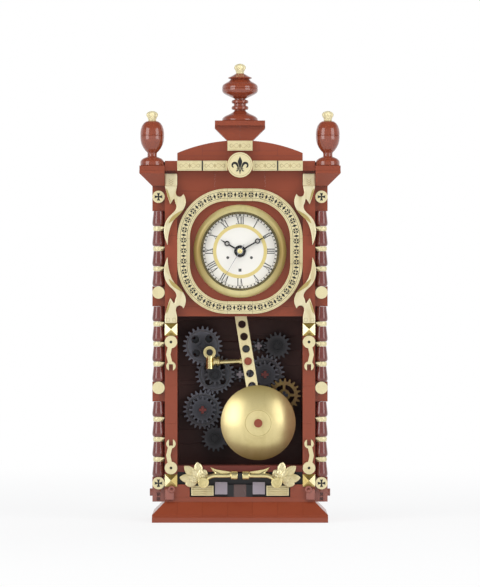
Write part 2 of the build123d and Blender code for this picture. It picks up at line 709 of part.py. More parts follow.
def pyramid_tile(z_low):
    """Square tile with four facets that meet in a point."""
    side = STUD - 2 * SEAM
    plane = Plane(origin=(X_STILE, Y_FACE, z_low + STUD / 2), x_dir=(1, 0, 0), z_dir=(0, -1, 0))
    foot = extrude(plane * Rectangle(side, side), amount=PYRAMID_EDGE)
    top = plane.offset(PYRAMID_EDGE)
    rise = ORNAMENT_T - PYRAMID_EDGE
    lean = math.degrees(math.atan2(side / 2 - SEAM, rise))
    return foot + extrude(top * Rectangle(side, side), amount=rise, taper=lean)


def spanner(z_disc, sign):
    """Bent spanner that hangs from (sign -1) or stands on (sign 1) its round end."""
    knee = (SPANNER_KNEE[0], sign * SPANNER_KNEE[1])
    jaw = (0, sign * SPANNER_LENGTH)
    shape = Circle(SPANNER_R) + Pos(*jaw) * Circle(JAW_R)
    for start, end in (((0, 0), knee), (knee, jaw)):
        length = math.dist(start, end)
        lean = math.degrees(math.atan2(end[1] - start[1], end[0] - start[0]))
        middle = Pos((start[0] + end[0]) / 2, (start[1] + end[1]) / 2)
        shape += middle * Rot(0, 0, lean) * SlotCenterToCenter(length, SPANNER_WIDE)
    mouth = JAW_R + JAW_DEEP
    shape -= Pos(0, jaw[1] + sign * (mouth / 2 - JAW_DEEP)) * Rectangle(JAW_GAP, mouth)
    shape -= Circle(SPANNER_HOLE_R)
    return facing(Pos(X_STILE, z_disc) * shape, Y_FACE, Y_FACE - ORNAMENT_T)


def stile_ornaments():
    """Tiles, drops, scrolls, pyramids and spanners on both stiles."""
    middle = Plane(origin=(0, 0, Z_DIAL), z_dir=(0, 0, 1))
    upper = [scroll(), scroll_tip()]
    pieces = upper + [mirror(piece, middle) for piece in upper]
    pieces.append(brick(X_WINDOW, X_CASE, Y_FACE, Y_CORE, Z_WALL, Z_WALL + STUD))
    z_low = Z_LINTEL - ORNATE_TALL
    pieces.append(block(X_WINDOW + SEAM, X_CASE - SEAM, Y_FACE - ORNAMENT_T, Y_FACE,
                        z_low, Z_LINTEL - SEAM))
    keep("stile_scrolls", both_sides(pieces))
    z_upper = z_low - STUD
    z_lower = Z_FLOOR + LOWER_STACK
    fittings = [pyramid_tile(z_upper), pyramid_tile(z_lower)]
    fittings.append(spanner(z_upper - SPANNER_R, -1))
    fittings.append(spanner(z_lower + STUD + SPANNER_R, 1))
    keep("stile_spanners", both_sides(fittings))


# Sprays on the plinth: leaves and curled arms, drawn for the right side
LEAF_INSET = 11.0       # from the window's edge in to the centre of the leaves
LEAF_X = X_WINDOW - LEAF_INSET
LEAF_RISE = 13.5        # centre of the leaves over the floor plates
LEAF_ANGLES = (98.0, 43.0, -5.0, 160.0, 200.0)
LEAF_LENGTHS = (8.8, 9.6, 9.8, 8.6, 8.4)
LEAF_WIDE = 5.6
LEAF_BELLY = 0.55       # place of a leaf's widest point along it
LEAF_T = 1.6
LEAF_HUB_R = 3.2
HORN_RISE = 13.9        # axis of the arms over the floor plates
HORN_R = 1.45
HORN_COLLAR = (1.5, 5.8)
HORN_COLLAR_R = 2.6
HORN_BEND_X = 15.5
HORN_BEND_R = 9.0
HORN_BEND = 60.0
CURL_R = 3.5
THORN_X = 12.5
THORN_LENGTH = 8.0
THORN_LEAN = 36.0


def leaf_spray():
    """Five pointed leaves round a hub that is pinned to the plinth."""
    shape = Circle(LEAF_HUB_R)
    for angle, length in zip(LEAF_ANGLES, LEAF_LENGTHS):
        half = LEAF_WIDE / 2
        belly = length * LEAF_BELLY
        side = ThreePointArc((0, 0), (belly, half), (length, 0))
        other = ThreePointArc((length, 0), (belly, -half), (0, 0))
        shape += Rot(0, 0, angle) * make_face([side, other])
    z = Z_FLOOR + LEAF_RISE
    leaves = facing(Pos(LEAF_X, z) * shape, Y_FACE, Y_FACE - LEAF_T)
    return leaves + rod_y(LEAF_X, z, HORN_R, Y_CORE, Y_FACE)


def horn():
    """Round arm from the middle collar to a curled end, with a thorn on top."""
    z = Z_FLOOR + HORN_RISE
    y = Y_FACE - LEAF_T - HORN_COLLAR_R
    plane = Plane(origin=(HORN_COLLAR[0], y, z), x_dir=(0, 1, 0), z_dir=(1, 0, 0))
    arm = extrude(plane * Circle(HORN_R), amount=HORN_BEND_X - HORN_COLLAR[0])
    arm += extrude(plane * Circle(HORN_COLLAR_R), amount=HORN_COLLAR[1] - HORN_COLLAR[0])
    bend = Axis((HORN_BEND_X, y, z - HORN_BEND_R), (0, 1, 0))
    end = Plane(origin=(HORN_BEND_X, y, z), x_dir=(0, 1, 0), z_dir=(1, 0, 0))
    arm += revolve(end * Circle(HORN_R), bend, HORN_BEND)
    lean = math.radians(HORN_BEND)
    curl_x = HORN_BEND_X + HORN_BEND_R * math.sin(lean)
    curl_z = z - HORN_BEND_R * (1 - math.cos(lean))
    arm += rod_y(curl_x, curl_z, CURL_R, y - HORN_COLLAR_R, y + HORN_COLLAR_R)
    tilt = Plane(origin=(THORN_X, y, z), x_dir=(0, 1, 0),
                 z_dir=(math.cos(math.radians(THORN_LEAN)), 0, math.sin(math.radians(THORN_LEAN))))
    sharpen = math.degrees(math.atan2(HORN_R - SEAM, THORN_LENGTH))
    return arm + extrude(tilt * Circle(HORN_R), amount=THORN_LENGTH, taper=sharpen)


def plinth_sprays():
    keep("leaf_sprays", both_sides([leaf_spray()]))
    keep("horns", both_sides([horn()]))
    z = Z_FLOOR + HORN_RISE
    y = Y_FACE - LEAF_T - HORN_COLLAR_R
    clip = block(-HORN_COLLAR[0], HORN_COLLAR[0], y - HORN_R, Y_CORE + SEAM, z - HORN_R, z + HORN_R)
    keep("plinth_core", clip)


# Dial ring and clock insert
def ring_tiles():
    """Rounded square of four quarter rings and four straight tiles."""
    reach = X_WINDOW - RING_INNER_R - RING_WIDE
    outer = RING_INNER_R + RING_WIDE
    quarter = Circle(outer - SEAM) - Circle(RING_INNER_R + SEAM)
    quarter &= Pos(outer / 2 + SEAM, outer / 2 + SEAM) * Rectangle(outer, outer)
    straight = Pos(0, X_WINDOW - RING_WIDE / 2) * Rectangle(2 * (reach - SEAM), RING_WIDE - 2 * SEAM)
    pieces = []
    for turn in range(4):
        place = Pos(0, Z_DIAL) * Rot(0, 0, 90 * turn)
        pieces.append(facing(place * Pos(reach, reach) * quarter, Y_CORE, Y_FACE))
        pieces.append(facing(place * straight, Y_CORE, Y_FACE))
    return pieces


Y_DIAL = Y_CORE - DIAL_T
Y_HOUR = Y_DIAL - HAND_AIR
Y_MINUTE = Y_HOUR - HAND_T - HAND_AIR
Y_SECOND = Y_MINUTE - HAND_T - HAND_AIR
Y_CRYSTAL = Y_SECOND - 2 * HAND_T - HAND_AIR
Y_BEZEL = Y_CRYSTAL - CRYSTAL_T - SEAM
Y_CAN = Y_CORE + CAN_DEEP
BEZEL_EDGE = 1.2        # upright outer edge of the bezel
BEZEL_CROWN = 2.0       # width of the bezel's front rim
HOUR_DEEP = 6.0         # how far each hand's arbor reaches into the movement
ARBOR_STEP = 2.0
CELL_DROP = 8.6
CELL_SLIP = 0.3
SET_STEM_R = 1.5
HUB_R = 3.8
CAP_R = 2.0


def bezel():
    """Gilt ring with a hollow curve from its outer edge to its front rim."""
    inner = DIAL_R
    rim = inner + BEZEL_CROWN
    y_edge = Y_CORE - BEZEL_EDGE
    mid = ((BEZEL_R + rim) / 2 + BEZEL_EDGE / 2, (y_edge + Y_BEZEL) / 2 - BEZEL_EDGE / 2)
    edges = [
        Line((inner, Y_CORE), (BEZEL_R, Y_CORE)),
        Line((BEZEL_R, Y_CORE), (BEZEL_R, y_edge)),
        ThreePointArc((BEZEL_R, y_edge), mid, (rim, Y_BEZEL)),
        Line((rim, Y_BEZEL), (inner, Y_BEZEL)),
        Line((inner, Y_BEZEL), (inner, Y_CORE)),
    ]
    return dished(edges, 0, Z_DIAL)


def hand_bores(solid):
    """Cut the stepped bore that the hands' arbors run in."""
    depth = HOUR_DEEP + SEAM
    for radius in (HOUR_TUBE_R, MINUTE_TUBE_R, SECOND_PIN_R):
        solid -= rod_y(0, Z_DIAL, radius + RUN_FIT, Y_CORE + depth, Y_CRYSTAL)
        depth += ARBOR_STEP
    return solid


def insert():
    """Bezel, crystal, dial, can, movement, cell and cell cover."""
    z_cell = Z_DIAL - CELL_DROP
    keep("bezel", bezel())
    keep("crystal", rod_y(0, Z_DIAL, DIAL_R - SEAM, Y_CRYSTAL, Y_CRYSTAL - CRYSTAL_T))
    keep("dial", hand_bores(rod_y(0, Z_DIAL, DIAL_R - SEAM, Y_CORE, Y_DIAL)))
    can = rod_y(0, Z_DIAL, CAN_R, Y_CAN, Y_CORE)
    can -= rod_y(0, Z_DIAL, CAN_R - CAN_WALL, Y_CAN - CAN_WALL, Y_CORE - CUT)
    can -= rod_y(0, z_cell, CELL_R + 2 * CELL_SLIP, Y_CAN + CUT, Y_CAN - 2 * CAN_WALL)
    can -= rod_y(0, Z_DIAL, SET_STEM_R + RUN_FIT, Y_CAN + CUT, Y_CAN - 2 * CAN_WALL)
    keep("insert_can", can)
    y_floor = Y_CAN - CAN_WALL - SEAM
    half = MOVEMENT_WIDE / 2
    movement = hand_bores(block(-half, half, Y_CORE + SEAM, y_floor, Z_DIAL - half, Z_DIAL + half))
    movement -= rod_y(0, z_cell, CELL_R + CELL_SLIP, y_floor + CUT, y_floor - CELL_T - CELL_SLIP)
    stem_end = y_floor - SET_KNOB_H
    movement -= rod_y(0, Z_DIAL, SET_STEM_R + RUN_FIT, y_floor + CUT, stem_end - WALL_AIR)
    keep("movement", movement)
    keep("battery_cell", rod_y(0, z_cell, CELL_R, y_floor - SEAM, y_floor - CELL_T))
    keep("cell_cover", rod_y(0, z_cell, CELL_R + CELL_SLIP, Y_CAN, Y_CAN - CAN_WALL))
    y_knob = Y_CAN + WALL_AIR
    stem = rod_y(0, Z_DIAL, SET_STEM_R, y_knob, stem_end)
    keep("set_knob", stem + rod_y(0, Z_DIAL, SET_KNOB_R, y_knob + SET_KNOB_H, y_knob))


# Hands
HAND_RING_AT = 0.66     # place of the ring along a hand
HAND_RING_R = 1.7
HAND_RING_HOLE = 0.95
HAND_STEM = 0.95        # width of the stem at the hub
SECOND_WIDE = 0.5
SECOND_TAIL = 5.0


def moon_hand(length):
    """Slim hand with a ring before its point, pointing to twelve."""
    middle = length * HAND_RING_AT
    ring = Pos(0, middle) * Circle(HAND_RING_R)
    half = HAND_STEM / 2
    shape = outline([(-half, 0), (half, 0), (half, middle), (-half, middle)])
    base = middle + HAND_RING_HOLE
    shape += outline([(-half, base), (half, base), (SEAM, length), (-SEAM, length)])
    return shape + ring - Pos(0, middle) * Circle(HAND_RING_HOLE)


def placed_hand(shape, angle, y_back):
    """Extrude a hand and set it on the dial at its clockwise angle."""
    return facing(Pos(0, Z_DIAL) * Rot(0, 0, -angle) * shape, y_back, y_back - HAND_T)


def hands():
    """Hour, minute and second hand, each with its own arbor inside the next."""
    y_end = Y_CORE + HOUR_DEEP
    hour_bore = Circle(MINUTE_TUBE_R + RUN_FIT)
    hour = placed_hand(moon_hand(HOUR_LENGTH) + Circle(HUB_R) - hour_bore, HOUR_ANGLE, Y_HOUR)
    tube = Circle(HOUR_TUBE_R) - hour_bore
    keep("hour_hand", hour + facing(Pos(0, Z_DIAL) * tube, y_end, Y_HOUR))
    minute_bore = Circle(SECOND_PIN_R + RUN_FIT)
    shape = moon_hand(MINUTE_LENGTH) + Circle(HUB_R - HAND_T) - minute_bore
    minute = placed_hand(shape, MINUTE_ANGLE, Y_MINUTE)
    tube = Circle(MINUTE_TUBE_R) - minute_bore
    keep("minute_hand", minute + facing(Pos(0, Z_DIAL) * tube, y_end + ARBOR_STEP, Y_MINUTE))
    half = SECOND_WIDE / 2
    tip = half / 2
    needle = [(-half, -SECOND_TAIL), (half, -SECOND_TAIL), (tip, SECOND_LENGTH), (-tip, SECOND_LENGTH)]
    second = placed_hand(outline(needle), SECOND_ANGLE, Y_SECOND)
    second += rod_y(0, Z_DIAL, CAP_R, Y_SECOND, Y_SECOND - 2 * HAND_T)
    keep("second_hand", second + rod_y(0, Z_DIAL, SECOND_PIN_R, y_end + 2 * ARBOR_STEP, Y_SECOND))


# Gear train: wheel, the wheel it meshes with, teeth there, own teeth, bearing seen from that wheel
PINION = 8
BLACK = 12
SMALL = 16
ESCAPE = 20
LARGE = 24


def reach(mate_teeth, teeth):
    """Distance between the centres of two meshing gears."""
    return MODULE * (mate_teeth + teeth) / 2 + MESH_SLACK


def lean(mate, teeth, widest, room):
    """Slope of the line from a middle wheel out to a wheel that leaves this room at the wall."""
    tip_r = MODULE * (widest / 2 + ADDENDUM)
    aside = X_WINDOW - room - tip_r - reach(PINION, LARGE)
    return math.degrees(math.acos(min(1.0, aside / reach(mate, teeth))))


LEAN_OUTER = lean(LARGE, SMALL, LARGE, TRAIN_ROOM)
LEAN_LOWER = lean(LARGE, LARGE, LARGE, TRAIN_ROOM)
LEAN_ESCAPE = lean(SMALL, ESCAPE, ESCAPE, ESCAPE_ROOM)
MESHES = (
    ("left", "centre", PINION, LARGE, 180.0),
    ("right", "centre", PINION, LARGE, 0.0),
    ("crank", "left", LARGE, SMALL, 180.0 - LEAN_OUTER),
    ("upper", "right", LARGE, SMALL, LEAN_OUTER),
    ("top", "upper", SMALL, PINION, LEAN_OUTER + TOP_TURN),
    ("lower", "left", LARGE, LARGE, LEAN_LOWER - 180.0),
    ("foot", "lower", LARGE, SMALL, -LEAN_OUTER),
    ("escape", "right", SMALL, ESCAPE, -LEAN_ESCAPE),
)
PRESSURE_ANGLE = math.radians(20.0)
WHEEL_HOLES = 4
WHEEL_HOLE_R = 2.4
ESCAPE_RIM = 2.2        # width of the escape wheel's rim under its teeth
ESCAPE_HUB_R = 3.9
ESCAPE_SPOKE = 1.8
CRANK_STANDOFF = 2.5    # from the crank wheel's face to the link's eye
ROD_AIR = 2.5           # from the link's eye to the pendulum's rod

Y_REAR_GEAR = Y_BACK_WALL - GEAR_T
Y_FRONT_GEAR = Y_REAR_GEAR - GEAR_T - LAYER_GAP
Y_EYE = Y_FRONT_GEAR - GEAR_T - CRANK_STANDOFF
Y_LINK = Y_EYE - EYE_T / 2
Y_ROD = Y_EYE - EYE_T - ROD_AIR


def train_layout():
    """Centre of every wheel, and the angle of one tooth of every gear, worked out mesh by mesh."""
    centres = {"centre": (0.0, (Z_SILL + Z_LINTEL) / 2 + TRAIN_RISE)}
    phases = {("centre", PINION): 0.0}
    for wheel, mate, mate_teeth, teeth, bearing in MESHES:
        away = reach(mate_teeth, teeth)
        beta = math.radians(bearing)
        x, z = centres[mate]
        centres[wheel] = (x + away * math.cos(beta), z + away * math.sin(beta))
        mate_phase = phases.setdefault((mate, mate_teeth), 0.0)
        past = (beta - mate_phase) * mate_teeth / (2 * math.pi)
        phases[(wheel, teeth)] = beta + math.pi - (2 * math.pi / teeth) * (0.5 - past)
    return centres, phases


CENTRES, PHASES = train_layout()
CRANK = (CENTRES["crank"][0] + CRANK_THROW * math.cos(math.radians(CRANK_ANGLE)),
         CENTRES["crank"][1] + CRANK_THROW * math.sin(math.radians(CRANK_ANGLE)))


def tooth_half_angle(radius, teeth):
    """Half the angle that an involute tooth fills at a radius."""
    pitch_r = MODULE * teeth / 2
    base_r = pitch_r * math.cos(PRESSURE_ANGLE)
    at_pitch = TOOTH_SLIM * math.pi / (2 * teeth) + math.tan(PRESSURE_ANGLE) - PRESSURE_ANGLE
    if radius <= base_r:
        return at_pitch
    slant = math.acos(base_r / radius)
    return at_pitch - math.tan(slant) + slant


def gear_outline(teeth, phase):
    """Closed outline of a gear with one tooth at the phase angle."""
    pitch_r = MODULE * teeth / 2
    root_r = pitch_r - DEDENDUM * MODULE
    tip_r = pitch_r + ADDENDUM * MODULE
    radii = [root_r, pitch_r - ADDENDUM * MODULE / 3, pitch_r + ADDENDUM * MODULE / 3, tip_r]
    points = []
    for index in range(teeth):
        middle = phase + 2 * math.pi * index / teeth
        rising = [(radius, middle - tooth_half_angle(radius, teeth)) for radius in radii]
        falling = [(radius, middle + tooth_half_angle(radius, teeth)) for radius in reversed(radii)]
        for radius, angle in rising + falling:
            points.append((radius * math.cos(angle), radius * math.sin(angle)))
    return outline(points)


def cross(play):
    """Section of the cross axle, larger by the play on every side."""
    long_side, short_side = 2 * (AXLE_R + play), AXLE_ARM + 2 * play
    return Rectangle(long_side, short_side) + Rectangle(short_side, long_side)


def gear(wheel, teeth, y_back, holes=0):
    """One gear with a cross-shaped bore, on its wheel's centre."""
    shape = gear_outline(teeth, PHASES.get((wheel, teeth), 0.0)) - cross(AXLE_PLAY)
    for index in range(holes):
        turn = Rot(0, 0, CRANK_ANGLE + 360 * index / holes)
        shape -= turn * Pos(CRANK_THROW, 0) * Circle(WHEEL_HOLE_R)
    return facing(Pos(*CENTRES[wheel]) * shape, y_back, y_back - GEAR_T)


def escape_gear():
    """Skeleton wheel: toothed rim, four spokes and a hub."""
    rim_r = MODULE * (ESCAPE / 2 - DEDENDUM) - ESCAPE_RIM
    shape = gear_outline(ESCAPE, PHASES[("escape", ESCAPE)]) - Circle(rim_r)
    across = 2 * rim_r + ESCAPE_RIM
    shape += Rectangle(across, ESCAPE_SPOKE) + Rectangle(ESCAPE_SPOKE, across)
    shape = shape + Circle(ESCAPE_HUB_R) - cross(AXLE_PLAY)
    return facing(Pos(*CENTRES["escape"]) * shape, Y_FRONT_GEAR, Y_FRONT_GEAR - GEAR_T)


def arbor(wheel, y_front):
    """Cross axle with a bush, ending in a round journal in the back wall."""
    x, z = CENTRES[wheel]
    y_bush = Y_BACK_WALL - WALL_AIR
    axle = facing(Pos(x, z) * cross(0), Y_REAR_GEAR, y_front - ARBOR_TIP)
    axle += rod_y(x, z, BUSH_R, y_bush, Y_REAR_GEAR)
    return axle + rod_y(x, z, ARBOR_R, Y_REAR - WALL_AIR, y_bush)


def train():
    """All wheels with their arbors, and the pin on the crank wheel."""
    front_face = Y_FRONT_GEAR - GEAR_T
    rear_face = Y_REAR_GEAR - GEAR_T
    keep("crank_wheel", gear("crank", LARGE, Y_FRONT_GEAR, WHEEL_HOLES))
    keep("crank_wheel", gear("crank", SMALL, Y_REAR_GEAR))
    pin = rod_y(*CRANK, WHEEL_HOLE_R - AXLE_PLAY, Y_FRONT_GEAR, Y_EYE + WALL_AIR)
    pin += rod_y(*CRANK, CRANK_PIN_R, Y_EYE + WALL_AIR, Y_EYE - EYE_T - ARBOR_TIP)
    keep("crank_arbor", arbor("crank", front_face), pin)
    keep("left_wheel", gear("left", LARGE, Y_REAR_GEAR, WHEEL_HOLES))
    keep("left_pinion", gear("left", BLACK, Y_FRONT_GEAR), arbor("left", front_face))
    keep("lower_wheels", gear("lower", LARGE, Y_REAR_GEAR, WHEEL_HOLES))
    keep("lower_wheels", gear("lower", SMALL, Y_FRONT_GEAR))
    keep("lower_arbor", arbor("lower", front_face))
    keep("right_wheels", gear("right", LARGE, Y_REAR_GEAR, WHEEL_HOLES))
    keep("right_wheels", gear("right", SMALL, Y_FRONT_GEAR))
    keep("right_arbor", arbor("right", front_face))
    keep("foot_wheel", gear("foot", SMALL, Y_REAR_GEAR), arbor("foot", rear_face))
    keep("upper_wheel", gear("upper", SMALL, Y_REAR_GEAR), arbor("upper", rear_face))
    keep("centre_pinion", gear("centre", PINION, Y_REAR_GEAR))
    keep("centre_arbor", arbor("centre", rear_face))
    keep("top_pinion", gear("top", PINION, Y_REAR_GEAR))
    keep("top_arbor", arbor("top", rear_face))
    keep("escape_wheel", escape_gear())
    keep("escape_arbor", arbor("escape", front_face))


# Pendulum and the link that joins it to the crank
ROD_PITCHES = 9         # holes of the rod below the pivot
BOB_RIM = 1.2
BOB_DISC_T = 1.2
BOB_HUB_R = 3.9
BOB_STUD_R = 2.7
LINK_BARREL_R = 2.5
LINK_BARREL_H = 8.0
LINK_FLANGE_T = 1.6
PIVOT = (0.0, Z_LINTEL + PIVOT_RISE)
PENDULUM = PIVOT[1] - Z_SILL - BOB_R - BOB_GAP
ROD_PITCH = PENDULUM / ROD_PITCHES
Y_ROD_FRONT = Y_ROD - ROD_T
Y_BOB = Y_ROD_FRONT - BOB_AIR


def on_rod(distance):
    """Point on the rod's middle line, a distance below the pivot."""
    tilt = math.radians(REST_TILT)
    return (PIVOT[0] + distance * math.sin(tilt), PIVOT[1] - distance * math.cos(tilt))


def pendulum_rod():
    """Flat rod with round ends and a row of holes."""
    holes = [on_rod(index * ROD_PITCH) for index in range(ROD_PITCHES + 1)]
    middle = on_rod(PENDULUM / 2)
    shape = Pos(*middle) * Rot(0, 0, REST_TILT - 90) * SlotCenterToCenter(PENDULUM, ROD_WIDE)
    for x, z in holes:
        shape -= Pos(x, z) * Circle(ROD_HOLE_R + RUN_FIT)
    return facing(shape, Y_ROD, Y_ROD_FRONT)


def cap_point(radius, rim_r, rim_y, apex_y):
    """Point of a round cap, at a distance from its axis, between its rim and its apex."""
    height = rim_y - apex_y
    sphere_r = (rim_r ** 2 + height ** 2) / (2 * height)
    return (radius, apex_y + sphere_r - math.sqrt(sphere_r ** 2 - radius ** 2))


def bob():
    """Hollow dish with a raised disc in front and a hub that meets the rod."""
    apex = Y_BOB - BOB_T
    rim_front = Y_BOB - BOB_RIM
    inner_r = BOB_R - BOB_SHELL
    inner_apex = apex + BOB_SHELL
    inner_mid = cap_point(inner_r / 2, inner_r, Y_BOB, inner_apex)
    edges = [
        ThreePointArc((0, apex), cap_point(BOB_R / 2, BOB_R, rim_front, apex), (BOB_R, rim_front)),
        Line((BOB_R, rim_front), (BOB_R, Y_BOB)),
        Line((BOB_R, Y_BOB), (inner_r, Y_BOB)),
        ThreePointArc((inner_r, Y_BOB), inner_mid, (0, inner_apex)),
        Line((0, inner_apex), (0, apex)),
    ]
    x, z = on_rod(PENDULUM)
    dish = dished(edges, x, z) + rod_y(x, z, BOB_HUB_R, Y_ROD_FRONT, inner_apex - BOB_SHELL / 2)
    return dish + rod_y(x, z, BOB_DISC_R, apex + BOB_SHELL, apex - BOB_DISC_T)


def pendulum_pins():
    """Pivot arbor with its long sleeve, the pin at the link's hole and the stud on the bob."""
    arbor_shaft = rod_y(*PIVOT, ROD_HOLE_R, Y_REAR - WALL_AIR, Y_ROD_FRONT)
    sleeve = rod_y(*PIVOT, BUSH_R, Y_BACK_WALL - WALL_AIR, Y_ROD)
    link_pin = rod_y(*on_rod(LINK_HOLE * ROD_PITCH), ROD_HOLE_R, Y_ROD, Y_ROD_FRONT - KNOB_H / 2)
    front = Y_BOB - BOB_T - BOB_DISC_T
    stud = rod_y(*on_rod(PENDULUM), BOB_STUD_R, front, front - KNOB_H)
    return [arbor_shaft + sleeve, link_pin, stud]


def link():
    """Eye on the crank pin with a barrel under it, and the bar that runs behind the rod."""
    eye = Circle(EYE_R) - Circle(CRANK_PIN_R + RUN_FIT)
    rod_end = facing(Pos(*CRANK) * eye, Y_EYE, Y_EYE - EYE_T)
    z_bar = CRANK[1] - LINK_DROP
    middle = Pos(CRANK[0], Y_LINK, z_bar)
    column = middle * Cylinder(LINK_BARREL_R, LINK_BARREL_H)
    column -= rod_y(*CRANK, CRANK_PIN_R + RUN_FIT, Y_EYE + CUT, Y_EYE - EYE_T - CUT)
    keep("link_eye", rod_end + column)
    end = on_rod(LINK_HOLE * ROD_PITCH)
    start = (CRANK[0], z_bar)
    length = math.dist(start, end)
    heading = ((end[0] - start[0]) / length, 0, (end[1] - start[1]) / length)
    plane = Plane(origin=(start[0], Y_LINK, start[1]), x_dir=(0, 1, 0), z_dir=heading)
    bar = extrude(plane * Circle(LINK_R), amount=length) - column
    flange_at = length - ROD_WIDE / 2 - LINK_FLANGE_T
    bar += extrude(plane.offset(flange_at) * Circle(LINK_FLANGE_R), amount=LINK_FLANGE_T)
    keep("link_bar", bar)


def pendulum():
    keep("pendulum_rod", pendulum_rod())
    keep("bob", bob())
    keep("pendulum_pins", pendulum_pins())
    link()


def main():
    os.makedirs("parts", exist_ok=True)
    base()
    plinth()
    walls([PIVOT, *CENTRES.values()])
    columns()
    cornice()
    roof()
    pediment()
    finials()
    stile_ornaments()
    plinth_sprays()
    keep("dial_ring_tiles", ring_tiles())
    insert()
    hands()
    train()
    pendulum()
    for name, solids in PARTS.items():
        export_step(Compound(children=solids), f"parts/{name}.step")


main()
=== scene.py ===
import json
import math

import bmesh
import bpy
from mathutils import Matrix, Vector


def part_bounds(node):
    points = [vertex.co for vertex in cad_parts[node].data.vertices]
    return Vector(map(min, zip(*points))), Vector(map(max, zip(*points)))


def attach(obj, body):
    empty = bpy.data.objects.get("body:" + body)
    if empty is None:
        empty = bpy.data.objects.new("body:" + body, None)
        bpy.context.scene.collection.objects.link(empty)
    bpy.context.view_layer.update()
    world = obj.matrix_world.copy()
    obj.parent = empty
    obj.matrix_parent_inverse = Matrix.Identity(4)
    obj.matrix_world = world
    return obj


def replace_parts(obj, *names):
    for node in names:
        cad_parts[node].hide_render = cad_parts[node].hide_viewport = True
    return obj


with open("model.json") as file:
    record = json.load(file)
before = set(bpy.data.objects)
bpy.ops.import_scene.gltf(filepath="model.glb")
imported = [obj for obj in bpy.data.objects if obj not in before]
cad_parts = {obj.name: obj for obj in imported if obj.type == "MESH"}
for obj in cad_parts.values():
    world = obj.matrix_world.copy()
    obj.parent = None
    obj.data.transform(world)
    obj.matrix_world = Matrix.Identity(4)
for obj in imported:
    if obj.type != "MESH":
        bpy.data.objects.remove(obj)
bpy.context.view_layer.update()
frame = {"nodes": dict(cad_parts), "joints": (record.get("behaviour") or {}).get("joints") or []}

bl_info = {
    "name": "Brick gear clock finish",
    "version": (1, 0, 0),
    "blender": (4, 5, 0),
    "location": "View3D > Sidebar > Clock",
    "description": "Finishes, dial print, gilt trim and stage for a brick-built gear clock",
    "category": "Object",
}

MM = 0.001


# Places read from the frame
def middle(node):
    """Centre of a node's box."""
    low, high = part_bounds(node)
    return (low + high) / 2


def front(node):
    """Depth of a node's foremost face."""
    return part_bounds(node)[0].y


def half_width(node):
    """Half the width of a node's box."""
    low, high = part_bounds(node)
    return (high.x - low.x) / 2


def part_box(name, test):
    """Lowest and highest corner of those points of a node that pass the test."""
    points = [vert.co for vert in frame["nodes"][name].data.vertices if test(vert.co)]
    return Vector(map(min, zip(*points))), Vector(map(max, zip(*points)))


def on_right(place):
    """Whether a point lies right of the middle."""
    return place.x > 0.0


DIAL = middle("dial")
DIAL_FACE = front("dial")
DIAL_R = half_width("dial")
BEZEL_R = half_width("bezel")
TILE_FACE = front("round_tiles")
COLUMN_X = sum(corner.x for corner in part_box("round_tiles", on_right)) / 2
COLUMN_Y = middle("column_bands").y
WINDOW_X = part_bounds("dial_panel")[1].x
CASE_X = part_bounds("stiles")[1].x
STILE_X = (WINDOW_X + CASE_X) / 2
BOB = middle("bob")
BOB_R = half_width("bob")


# Colours and sizes that a user may change
def colour(name, text, default):
    """One colour of the clock."""
    return bpy.props.FloatVectorProperty(
        name=name, description=text, subtype="COLOR", size=3, min=0.0, max=1.0, default=default)


def length(name, text, default):
    """One length of the clock, in metres."""
    return bpy.props.FloatProperty(
        name=name, description=text, subtype="DISTANCE", unit="LENGTH", min=0.0, default=default)


